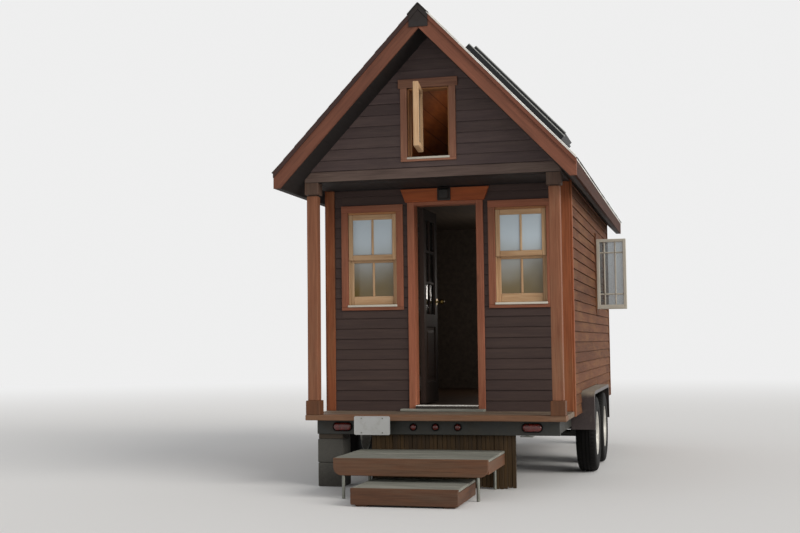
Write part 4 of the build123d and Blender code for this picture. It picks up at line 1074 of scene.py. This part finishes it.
def ridgeShingles():
    # each cap is a bent strip: z = ridge top - slope * |x| + lift, lifted more at its butt than at its head
    batch = Batch()
    halfWidth = covering["capHalf"]
    x = np.array([-1, -0.55, -0.12, 0, 0.12, 0.55, 1]) * halfWidth
    crown = np.array([0, 0, -0.0010, -0.0042, -0.0010, 0, 0])
    across = np.concatenate([x, x[::-1]])
    start = roofFrontY - roof["barge"] - 0.018
    while start < roofRearY:
        stop = min(start + covering["capLength"], roofRearY + roof["barge"] - 0.002)
        top = np.array([0.0120, 0.0060])[:, None] + crown
        foot = np.array([0.0050, -0.002])[:, None] + crown[::-1]
        z = roofTopAt(across) + np.concatenate([top, foot], axis=1)
        y = np.repeat(np.array([start, stop])[:, None], len(across), axis=1)
        points = np.stack([np.broadcast_to(across, y.shape), y, z], axis=-1)
        batch.add(points, tubeFaces(2, len(across)), chance.uniform(), points + chance.uniform(0, 20, 3))
        start += covering["capExposure"]
    batch.build("ridgeShingles", shingleFinish, slot="roofing", replaces=("ridge_cap",))


ridgeShingles()
rake = {"mould": 0.034, "mouldDepth": 0.013, "drip": (-0.004, 0.011), "metal": 0.003, "joint": 0.001,
        "peak": 0.115, "dripStart": 0.10}


def alongRake(batch, side, lift, y, start=0.0, stop=None, **rest):
    # A board down one slope's edge between two lifts above the roof plane, from start to stop. Its ends are
    # cut plumb: along the slope they move by -tan(angle) for each unit of lift.
    stop = eaveDistance if stop is None else stop
    down, normal = slopes[side].v, slopes[side].out
    lead = -slope * sum(lift) / 2
    middle = np.array([0, sum(y) / 2, ridgeTop]) + normal * sum(lift) / 2
    first, last = (middle + down * (distance + lead) for distance in (start, stop))
    plank(batch, first, last, normal, lift[1] - lift[0], y[1] - y[0], slant=-slope, **rest)


def rakeOutline():
    # the board's corners in distance down the slope and lift: s = x * cos - (z - ridge) * sin and
    # n = x * sin + (z - ridge) * cos, for the plumb joint at the ridge and the plumb and level eave cuts
    levelX = (ridgeTop - plumbDepth - soffitZ) / slope
    joint = rake["joint"]
    x = np.array([joint, eaveX, eaveX, levelX, joint])
    z = np.array([roofTopAt(joint), roofTopAt(eaveX), soffitZ, soffitZ, roofUnderAt(joint)]) - ridgeTop
    s, n = x * math.cos(angle) - z * math.sin(angle), x * math.sin(angle) + z * math.cos(angle)
    return np.stack([s, n], axis=1)


boards, drips, peaks = Batch(), Batch(), Batch()
moulds = {1: Batch(), -1: Batch()}
for side in (-1, 1):
    for y, way in ((roofFrontY, -1), (roofRearY, 1)):
        face = y + way * roof["barge"]
        alongSlope = Wall((0, y, ridgeTop), slopes[side].v, (0, way, 0), slopes[side].out)
        slab(boards, alongSlope, rakeOutline(), (0, roof["barge"]))
        mouldY = sorted((face, face + way * rake["mouldDepth"]))
        alongRake(moulds[side], side, (-rake["mould"], 0.001), mouldY, rake["peak"], stations=8)
        alongRake(peaks, side, (-rake["mould"], 0.001), mouldY, 0.0, rake["peak"] - 0.001)
        if side > 0:
            inner = face + way * rake["mouldDepth"]
            outer = inner + way * rake["metal"]
            for lift, begin in (((0.001, 0.0045), y), (rake["drip"], inner)):
                alongRake(drips, side, lift, sorted((begin, outer)), rake["dripStart"], edge=0.0008)
boards.build("rakeBoards", rakeWood, slot="trim_wood", replaces=("rake_boards",))
moulds[1].build("rightMoulds", mouldWood, slot="trim_wood")
# the left moulds take the painted shade finish
moulds[-1].build("leftMouldsInShade", mouldPaintedShade, slot="trim_wood")
peaks.build("peakMoulds", plateSteel, slot="trim_wood")
fascias = Batch()
eaveTop, reach = roofTopAt(eaveX), eaveX - wallX
for wall in (rightWall, leftWall):
    depth = (eaveX - roof["barge"] - wallX, reach)
    wall.stick(fascias, (roofFrontY, roofRearY), depth, (soffitZ, eaveTop - 0.002), stations=20, waver=0.0006)
    wall.stick(drips, (roofFrontY - 0.02, roofRearY + 0.02), (reach + 0.001, reach + 0.004),
               (eaveTop - 0.020, eaveTop - 0.004), edge=0.0008, tone=0.5)
fascias.build("eaveFascias", fasciaShadeWood, slot="trim_wood", replaces=("eave_fascias",))
drips.build("dripEdges", dripMetal, slot="alloy")
refined("peak_plate", "peakPlate", plateSteel, 0.002)
print("roof covered")

panel = {"starts": (0.291, 0.151), "width": 0.540, "apart": 0.090, "length": 1.160, "thick": 0.050,
         "lifts": (0.040, 0.095), "frame": 0.022, "glass": 0.004, "lip": 0.008}
frames, cells, lips = Batch(), Batch(), Batch()
for number, (start, lift) in enumerate(zip(panel["starts"], panel["lifts"])):
    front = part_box("solar_panels")[0].y + number * (panel["width"] + panel["apart"])
    u, v = (front, front + panel["width"]), (start, start + panel["length"])
    d = (lift, lift + panel["thick"] - panel["lip"])
    for side in ends(v, panel["frame"]):
        rightSlope.stick(frames, u, d, side, edge=0.001, tone=0.5)
    inner = (v[0] + panel["frame"], v[1] - panel["frame"])
    for side in ends(u, panel["frame"]):
        rightSlope.stick(frames, side, d, inner, along="v", edge=0.001, tone=0.5)
    size = (panel["width"] - 2 * panel["frame"], panel["length"] - 2 * panel["frame"])
    layered(cells, rightSlope, (sum(u) / 2, sum(v) / 2), size, 0.001,
            [(0, d[1] - 0.012), (0, d[1] - panel["glass"] + 0.001)], arc=1)
    rightSlope.stick(lips, ends(u, panel["frame"])[0], (d[1], d[1] + panel["lip"]), v, along="v", edge=0.0008)
lips.build("panelLips", lipAlloy, slot="alloy")
# the frames carry the near-black painted shade
frames.build("panelFrames", panelFrameShade, slot="alloy", replaces=("solar_panels",))
cells.build("panelCells", cellFinish, slot="solar_glass")
refined("panel_rails", "panelRails", alloy, 0.003)


# Steps and skirt

step = {"boards": 4, "board": 0.022, "corner": 0.068, "front": 0.034, "gap": 0.004,
        "legInset": (0.080, 0.017), "height": 0.132, "foot": 0.014, "lowerCorner": 0.012,
        "feet": (0.030, 0.120), "footWidth": 0.090}


def roundedFoot(low, high, foot, top, radius):
    # a board's outline with a quarter circle of the radius at each lower corner
    t = np.linspace(0, math.pi / 2, 9)
    leftArc = np.stack([low + radius - radius * np.cos(t), foot + radius - radius * np.sin(t)], axis=1)
    rightArc = np.stack([high - radius + radius * np.sin(t), foot + radius - radius * np.cos(t)], axis=1)
    return np.concatenate([[(low, top)], leftArc, rightArc, [(high, top)]])


tops, fronts = Batch(), Batch()


def stepBox(low, high, foot, corner, tone):
    # a tread of boards over a rounded front board and two side boards
    top, under = high.z, high.z - step["board"]
    pitch = (high.y - low.y - step["front"] + step["gap"]) / step["boards"]
    for number in range(step["boards"]):
        start = low.y + step["front"] + number * pitch
        d = (-(start + pitch - step["gap"]), -start)
        ground.stick(tops, (low.x, high.x), d, (under, top), edge=0.005, stations=14, waver=0.0012)
    outline = roundedFoot(low.x, high.x, foot, top, corner)
    slab(fronts, ground, outline, (-low.y - step["front"], -low.y), 0.004, tone)
    lift = foot + corner * 0.3
    for x in ends((low.x, high.x), step["front"]):
        start, stop = ((sum(x) / 2, y, (lift + under) / 2) for y in (low.y + step["front"], high.y))
        plank(fronts, start, stop, (0, 0, 1), under - lift, step["front"], tone=tone)


upperLow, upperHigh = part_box("upper_step")
lowerLow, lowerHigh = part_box("lower_step")
# the lower step's tone of 0.0 makes its front boards darker than the upper step's: painted shade
stepBox(upperLow, upperHigh, upperHigh.z - step["height"], step["corner"], 0.8)
stepBox(lowerLow, lowerHigh, step["foot"], step["lowerCorner"], 0.0)
depth = (-(lowerHigh.y - 0.03), -(lowerLow.y + 0.03))
for x in (lowerLow.x + step["feet"][0], lowerHigh.x - step["feet"][1]):
    ground.stick(fronts, (x, x + step["footWidth"]), depth, (0, 0.016), along="d")
tops.build("stepTops", stepTopWood, slot="step_wood")
fronts.build("stepFronts", stepFrontWood, slot="step_wood", replaces=("upper_step", "lower_step"))
legs = Batch()
for x in (upperLow.x + step["legInset"][0], upperHigh.x - step["legInset"][0]):
    for y in (upperLow.y + step["legInset"][1], upperHigh.y - step["legInset"][1]):
        turned(legs, (x, y, 0), (0, 0, 1), [(0, 0.011), (0.002, 0.013), (0.24, 0.013), (0.242, 0.011)], 20)
legs.build("stepLegs", galvanised, slot="steel_fittings", smooth=30)

skirt = {"slat": 0.036, "gap": 0.0015, "sag": 0.012, "backing": 0.005}
slats = Batch()
skirtLow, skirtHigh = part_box("skirt")
count = round((skirtHigh.x - skirtLow.x) / skirt["slat"])
shares = np.concatenate([[0], np.cumsum(chance.uniform(0.85, 1.15, count))])
joints = skirtLow.x + (skirtHigh.x - skirtLow.x) * shares / shares[-1]
face = -skirtHigh.y + skirt["backing"]
for left, right in zip(joints[:-1], joints[1:]):
    foot = skirtLow.z + chance.uniform(0, skirt["sag"])
    depth = (face - 0.001, face + chance.uniform(0.008, 0.013))
    ground.stick(slats, (left + skirt["gap"] / 2, right - skirt["gap"] / 2), depth, (foot, skirtHigh.z),
                 along="v", edge=0.003, stations=6, waver=0.0008)
ground.stick(slats, (skirtLow.x + 0.004, skirtHigh.x - 0.004), (-skirtHigh.y, face), (0.02, skirtHigh.z),
             along="v", tone=0.0)
slats.build("skirtSlats", skirtWood, slot="step_wood", replaces=("skirt",))
print("steps and skirt built")


# Trailer, lights and wheels

refined("rear_crossmember", "rearCrossmember", steelPaint, 0.005)
refined("tongue_beams", "tongueBeams", steelPaint, 0.004)
refined("coupler", "couplerBody", blackSteel, 0.006)
refined("tongue_jack", "tongueJack", galvanised, 0.002)
refined("fenders", "fenderShells", fenderFinish, 0.003)

lamps = {"ovalX": 0.793, "oval": (0.170, 0.075), "roundX": 0.186, "round": (0.062, 0.062), "height": 0.498,
         "bezel": 0.007}
rear = Wall((0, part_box("rear_crossmember")[0].y, 0), (1, 0, 0), (0, -1, 0))
bezels, lenses = Batch(), Batch()


def lamp(centre, size):
    # a bezel with a rolled edge, and a lens that rises from it as a low dome
    radius, bezel = min(size) / 2, lamps["bezel"]
    edge = [(0, -0.001), (0, 0.010), (0.0015, 0.0125), (bezel - 0.001, 0.0125), (bezel, 0.008)]
    layered(bezels, rear, centre, size, radius, edge, arc=10)
    share = np.linspace(0, 1, 7)
    k = bezel + (radius - bezel) * 0.97 * share
    d = 0.0075 + 0.0125 * np.sqrt(1 - (1 - share) ** 2)
    layered(lenses, rear, centre, size, radius, np.stack([k, d], axis=1), arc=10)


for side in (-1, 1):
    lamp((side * lamps["ovalX"], lamps["height"]), lamps["oval"])
for number in (-1, 0, 1):
    lamp((number * lamps["roundX"], lamps["height"]), lamps["round"])
bezels.build("lampBezels", rubberFinish, slot="rubber", smooth=40)
lenses.build("lampLenses", lensFinish, slot="red_lens", replaces=("tail_lights",), smooth=60)

plate = {"corner": 0.014, "rim": 0.006, "bolts": (0.089, 0.058), "brackets": 0.090, "bracketHalf": 0.012,
         "bracketHeight": (0.560, 0.566), "bracketLength": 0.120}
plateLow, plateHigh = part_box("number_plate")
plateX, plateZ = (plateLow.x + plateHigh.x) / 2, (plateLow.z + plateHigh.z) / 2
batch = Batch()
layered(batch, gableWall, (plateX, plateZ), (plateHigh.x - plateLow.x, plateHigh.z - plateLow.z),
        plate["corner"], [(0.0005, 0), (0, 0.0005), (0, 0.0016), (0.0005, 0.002), (plate["rim"], 0.002),
                          (plate["rim"] + 0.0015, 0.0010)])
batch.build("blankPlate", plateFinish, slot="blank_plate", replaces=("number_plate",), smooth=30)
batch = Batch()
for u in (-1, 1):
    for v in (-1, 1):
        centre = (plateX + u * plate["bolts"][0], porchY, plateZ + v * plate["bolts"][1])
        turned(batch, centre, (0, -1, 0), [(0, 0.006), (0.004, 0.006), (0.0055, 0.0045), (0.006, 0.002)], 12)
depth = (-porchY - plate["bracketLength"], -porchY - 0.0005)
for x in (plateX - plate["brackets"], plateX + plate["brackets"]):
    ground.stick(batch, (x - plate["bracketHalf"], x + plate["bracketHalf"]), depth, plate["bracketHeight"],
                 along="d", tone=0.5)
batch.build("plateBolts", galvanised, slot="steel_fittings", smooth=30)

# a stack is given by its side and the y it is measured from; x and y are its reach from there
blocks = {"stacks": ((-1, -2.255), (-1, 1.995), (1, 1.995)), "x": (0.785, 1.015), "y": (0.005, 0.225),
          "end": 0.005, "courses": 2, "course": 0.196, "gap": 0.002, "shift": 0.004, "shim": 0.005,
          "top": 0.435}
stones, shims = Batch(), Batch()
for side, origin in blocks["stacks"]:
    x = sorted(side * value for value in blocks["x"])
    x = (x[0] + blocks["end"], x[1] - blocks["end"])
    d = (-origin - blocks["y"][1], -origin - blocks["y"][0])
    z = 0.0
    for number in range(blocks["courses"]):
        shift = chance.uniform(-blocks["shift"], blocks["shift"], 2)
        ground.stick(stones, (x[0] + shift[0], x[1] + shift[0]), (d[0] + shift[1], d[1] + shift[1]),
                     (z, z + blocks["course"]), along="v", edge=0.006)
        z += blocks["course"] + blocks["gap"]
    ground.stick(shims, (x[0] + blocks["shim"], x[1] - blocks["shim"]),
                 (d[0] + blocks["shim"], d[1] - blocks["shim"]), (z - 0.001, blocks["top"]))
stones.build("blockStacks", masonryFinish, slot="masonry", replaces=("support_blocks",))
shims.build("blockShims", shimWood, slot="deck_wood")

tyre = {"half": 0.090, "radius": 0.3445, "lugs": 60, "lugDepth": 0.006, "groove": 0.007,
        "grooves": (-0.032, 0.0, 0.032), "around": 180}


def treadRadius(t, h, r):
    # shoulder blocks: beyond the outer groove the radius steps down between the lugs
    outer = (np.abs(h) > 0.52 * tyre["half"]) & (r > tyre["radius"] - 0.0195)
    wave = np.sin(t * tyre["lugs"] + np.where(h > 0, 1.5, 0)) > 0.45
    return np.where(outer & wave, r - tyre["lugDepth"], r)


def tyreProfile():
    # the section of (h, r): bead, bulged wall, shoulder, and a grooved tread
    wall = [(-0.80, 0.190), (-0.88, 0.194), (-0.95, 0.215), (-1.0, 0.250), (-0.99, 0.285), (-0.94, 0.312),
            (-0.89, 0.324), (-0.82, 0.333), (-0.70, 0.3395), (-0.54, 0.3425)]
    wall = [(share * tyre["half"], r) for share, r in wall]
    tread = []
    top, low = tyre["radius"], tyre["radius"] - tyre["groove"]
    for middle in tyre["grooves"]:
        tread += [(middle - 0.005, top), (middle - 0.004, low), (middle + 0.004, low), (middle + 0.005, top)]
    return wall + tread + [(-h, r) for h, r in wall[::-1]]


# the rim's turned sections, as (distance outward, radius) and the steps round, then its other parts
rim = {"barrel": ([(-0.077, 0.182), (-0.077, 0.190), (-0.072, 0.192), (-0.065, 0.186), (-0.054, 0.178),
                   (-0.018, 0.166), (0.045, 0.168), (0.059, 0.180), (0.070, 0.187), (0.076, 0.1955),
                   (0.080, 0.1955), (0.0805, 0.190), (0.074, 0.181), (0.063, 0.172), (0.047, 0.161),
                   (-0.016, 0.159), (-0.056, 0.171), (-0.070, 0.180)], 72),
       "dish": ([(0.022, 0.062), (0.030, 0.064), (0.040, 0.090), (0.040, 0.108), (0.034, 0.112),
                 (0.030, 0.108), (0.030, 0.090), (0.018, 0.066)], 72),
       "flange": ([(0.018, 0.066), (0.026, 0.066), (0.028, 0.050), (0.028, 0.0195), (0.020, 0.0195)], 48),
       "cap": [(0.012, 0.034), (0.053, 0.034), (0.062, 0.031), (0.0665, 0.022), (0.068, 0.004)],
       "spokes": 8, "spoke": (0.100, 0.166), "spokeWidth": 0.062, "spokeThick": 0.010, "spokeOut": 0.036,
       "nuts": 5, "nutCircle": 0.047, "nutOut": 0.025,
       "nut": [(0, 0.010), (0.012, 0.010), (0.018, 0.007), (0.019, 0.003)]}


def dressWheel(side, number):
    # tyre and pressed rim about the axle; h runs outward from the middle of the tyre
    body = f"{side}_wheel_{number}"
    low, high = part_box(f"{side}_tyre_{number}")
    centre = (low + high) / 2
    way = 1 if side == "right" else -1
    axis = (way, 0, 0)
    batch = Batch()
    turned(batch, centre, axis, tyreProfile(), tyre["around"], closed=True, radial=treadRadius)
    batch.build(f"{body}Tyre", tyreFinish, body, "rubber", (f"{side}_tyre_{number}",), smooth=35)
    batch = Batch()
    for part in ("barrel", "dish", "flange"):
        turned(batch, centre, axis, *rim[part], closed=True)
    turned(batch, centre, axis, rim["cap"], 40)
    middle = np.array(centre) + np.array([way * rim["spokeOut"], 0, 0])
    for spoke in range(rim["spokes"]):
        t = spoke * 2 * math.pi / rim["spokes"]
        out = np.array([0, math.cos(t), math.sin(t)])
        tangent = np.array([0, -math.sin(t), math.cos(t)])
        start, stop = (middle + out * distance for distance in rim["spoke"])
        plank(batch, start, stop, tangent, rim["spokeWidth"], rim["spokeThick"], tone=0.5, stations=3)
    for nut in range(rim["nuts"]):
        t = nut * 2 * math.pi / rim["nuts"] + 0.3
        at = np.array([way * rim["nutOut"], math.cos(t) * rim["nutCircle"], math.sin(t) * rim["nutCircle"]])
        turned(batch, np.array(centre) + at, axis, rim["nut"], 6)
    batch.build(f"{body}Rim", rimFinish, body, "wheel_paint", (f"{side}_rim_{number}",), smooth=35)


for side in ("left", "right"):
    for number in (1, 2):
        dressWheel(side, number)
print("trailer dressed")


# Door leaf, on its own body

leaf = {"thick": 0.040, "barHalf": 0.010, "barDepth": (-0.032, -0.008), "rows": (1.721, 2.003),
        "panelHeight": 1.083, "panel": (0.343, 0.486), "field": 0.030}
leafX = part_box("door_leaf")[1].x
leafFace = Wall((leafX, 0, 0), (0, 1, 0), (1, 0, 0))
leafBack = Wall((leafX - leaf["thick"], 0, 0), (0, 1, 0), (-1, 0, 0))
refined("door_leaf", "doorLeaf", doorWood, 0.002, "front_door")
glassLow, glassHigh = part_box("door_glass")
batch = Batch()
middle = (glassLow.y + glassHigh.y) / 2
bar = leaf["barHalf"]
leafFace.stick(batch, (middle - bar, middle + bar), leaf["barDepth"], (glassLow.z, glassHigh.z), along="v")
for z in leaf["rows"]:
    leafFace.stick(batch, (glassLow.y, glassHigh.y), leaf["barDepth"], (z - bar, z + bar))
raised = [(0, -0.012), (0, -0.006), (0.012, -0.009), (leaf["field"], -0.009), (leaf["field"] + 0.02, -0.003)]
for face in (leafFace, leafBack):
    layered(batch, face, (middle, leaf["panelHeight"]), leaf["panel"], 0.004, raised, arc=2)
batch.build("doorBars", doorBarWood, "front_door", "trim_wood")


def finishNodes(finish, *names):
    # gives the solids that stay in the scene their finish
    for name in names:
        for slot in nodes[name].material_slots:
            slot.material = finish


finishNodes(wallFaces, "left_wall", "right_wall", "front_wall_left", "front_wall_right", "front_wall_header",
            "rear_wall", "rear_gable", "front_gable", "left_roof", "right_roof", "loft_floor")
finishNodes(floorWood, "house_floor")
finishNodes(steelPaint, "trailer_side_beams", "trailer_crossmembers", "axles")
finishNodes(blackSteel, "leaf_springs", "door_hinges")
finishNodes(brass, "door_knobs")
finishNodes(doorGlass, "door_glass")
print("solids finished")


view = {"place": (2.106, -11.618, 1.196), "yaw": 14.32, "pitch": 3.70, "roll": 0.642, "lens": 52.5}


def aimCamera():
    # forward = yaw to the left of +Y, then pitch up; the roll turns right and up about it
    yaw, pitch, roll = (math.radians(view[key]) for key in ("yaw", "pitch", "roll"))
    forward = Vector((-math.sin(yaw) * math.cos(pitch), math.cos(yaw) * math.cos(pitch), math.sin(pitch)))
    level = Vector((math.cos(yaw), math.sin(yaw), 0))
    upright = level.cross(forward)
    right = level * math.cos(roll) - upright * math.sin(roll)
    up = upright * math.cos(roll) + level * math.sin(roll)
    data = bpy.data.cameras.new("camera")
    data.lens = view["lens"]
    data.sensor_width = 36
    data.clip_end = 200
    camera = bpy.data.objects.new("camera", data)
    turn = Matrix((right, up, -forward)).transposed().to_4x4()
    camera.matrix_world = Matrix.Translation(view["place"]) @ turn
    bpy.context.scene.collection.objects.link(camera)
    bpy.context.scene.camera = camera


studio = {"sky": 0.55, "background": 0.86, "key": 2.4, "keyFrom": (0.84, -0.36, 0.42), "keySpread": 40.0,
          "keyTint": (1.0, 0.96, 0.90), "floor": 0.72, "floorSize": 60.0, "fade": (6.0, 26.0),
          "loft": 3.0, "loftFrom": (0.25, -0.9, 3.15), "loftTint": (1.0, 0.74, 0.52),
          "room": 8.0, "roomFrom": (0.35, 0.6, 1.7), "roomTint": (1.0, 0.93, 0.86)}
white = (1, 1, 1, 1)


def fed(tree, kind, *inputs):
    # the first output of a new node whose inputs are given in order, as links or plain values
    node = tree.nodes.new(kind)
    for socket, value in zip(node.inputs, inputs):
        if isinstance(value, bpy.types.NodeSocket):
            tree.links.new(value, socket)
        else:
            socket.default_value = value
    return node.outputs[0]


def lightStudio():
    # the sky lights the house, and rays from the camera, through glass or off a gloss see a paler background
    world = bpy.data.worlds.new("studio")
    bpy.context.scene.world = world
    world.use_nodes = True
    tree = world.node_tree
    tree.nodes.clear()
    path = tree.nodes.new("ShaderNodeLightPath").outputs
    seen = fed(tree, "ShaderNodeMath", path["Is Camera Ray"], path["Is Transmission Ray"])
    shown = fed(tree, "ShaderNodeMath", seen, path["Is Glossy Ray"])
    for socket in (seen, shown):
        socket.node.operation = "MAXIMUM"
    lit = fed(tree, "ShaderNodeBackground", white, studio["sky"])
    pale = fed(tree, "ShaderNodeBackground", white, studio["background"])
    output = tree.nodes.new("ShaderNodeOutputWorld")
    tree.links.new(fed(tree, "ShaderNodeMixShader", shown, lit, pale), output.inputs[0])
    key = bpy.data.lights.new("key", "SUN")
    key.energy = studio["key"]
    key.angle = math.radians(studio["keySpread"])
    key.color = studio["keyTint"]
    lamp = bpy.data.objects.new("key", key)
    lamp.matrix_world = Vector(studio["keyFrom"]).to_track_quat("Z", "Y").to_matrix().to_4x4()
    bpy.context.scene.collection.objects.link(lamp)
    for name in ("loft", "room"):
        glow = bpy.data.lights.new(name, "POINT")
        glow.energy = studio[name]
        glow.shadow_soft_size = 0.15
        glow.color = studio[name + "Tint"]
        lamp = bpy.data.objects.new(name, glow)
        lamp.location = studio[name + "From"]
        lamp.visible_camera = False
        lamp.visible_transmission = False
        bpy.context.scene.collection.objects.link(lamp)


def layFloor():
    # a pale floor that fades into the background with the distance from the house
    finish = Finish("floorPaper", Roughness=0.9)
    finish.set("Base Color", (studio["floor"],) * 3 + (1,))
    away = finish.add("ShaderNodeVectorMath", {"operation": "LENGTH"}, {0: finish.here()}, out="Value")
    fade = finish.soft(away, *studio["fade"]).socket
    glow = fed(finish.tree, "ShaderNodeEmission", white, studio["background"])
    choose = fed(finish.tree, "ShaderNodeMixShader", fade, finish.surface.outputs[0], glow)
    finish.tree.links.new(choose, finish.output.inputs[0])
    reach = studio["floorSize"]
    corners = [(-reach, -reach, 0), (reach, -reach, 0), (reach, reach, 0), (-reach, reach, 0)]
    mesh = bpy.data.meshes.new("floor")
    mesh.from_pydata(corners, [], [(0, 1, 2, 3)])
    mesh.materials.append(finish.material)
    floor = bpy.data.objects.new("floor", mesh)
    bpy.context.scene.collection.objects.link(floor)


aimCamera()
lightStudio()
layFloor()
bpy.context.scene.view_settings.view_transform = "Standard"
print("camera, light and floor set")
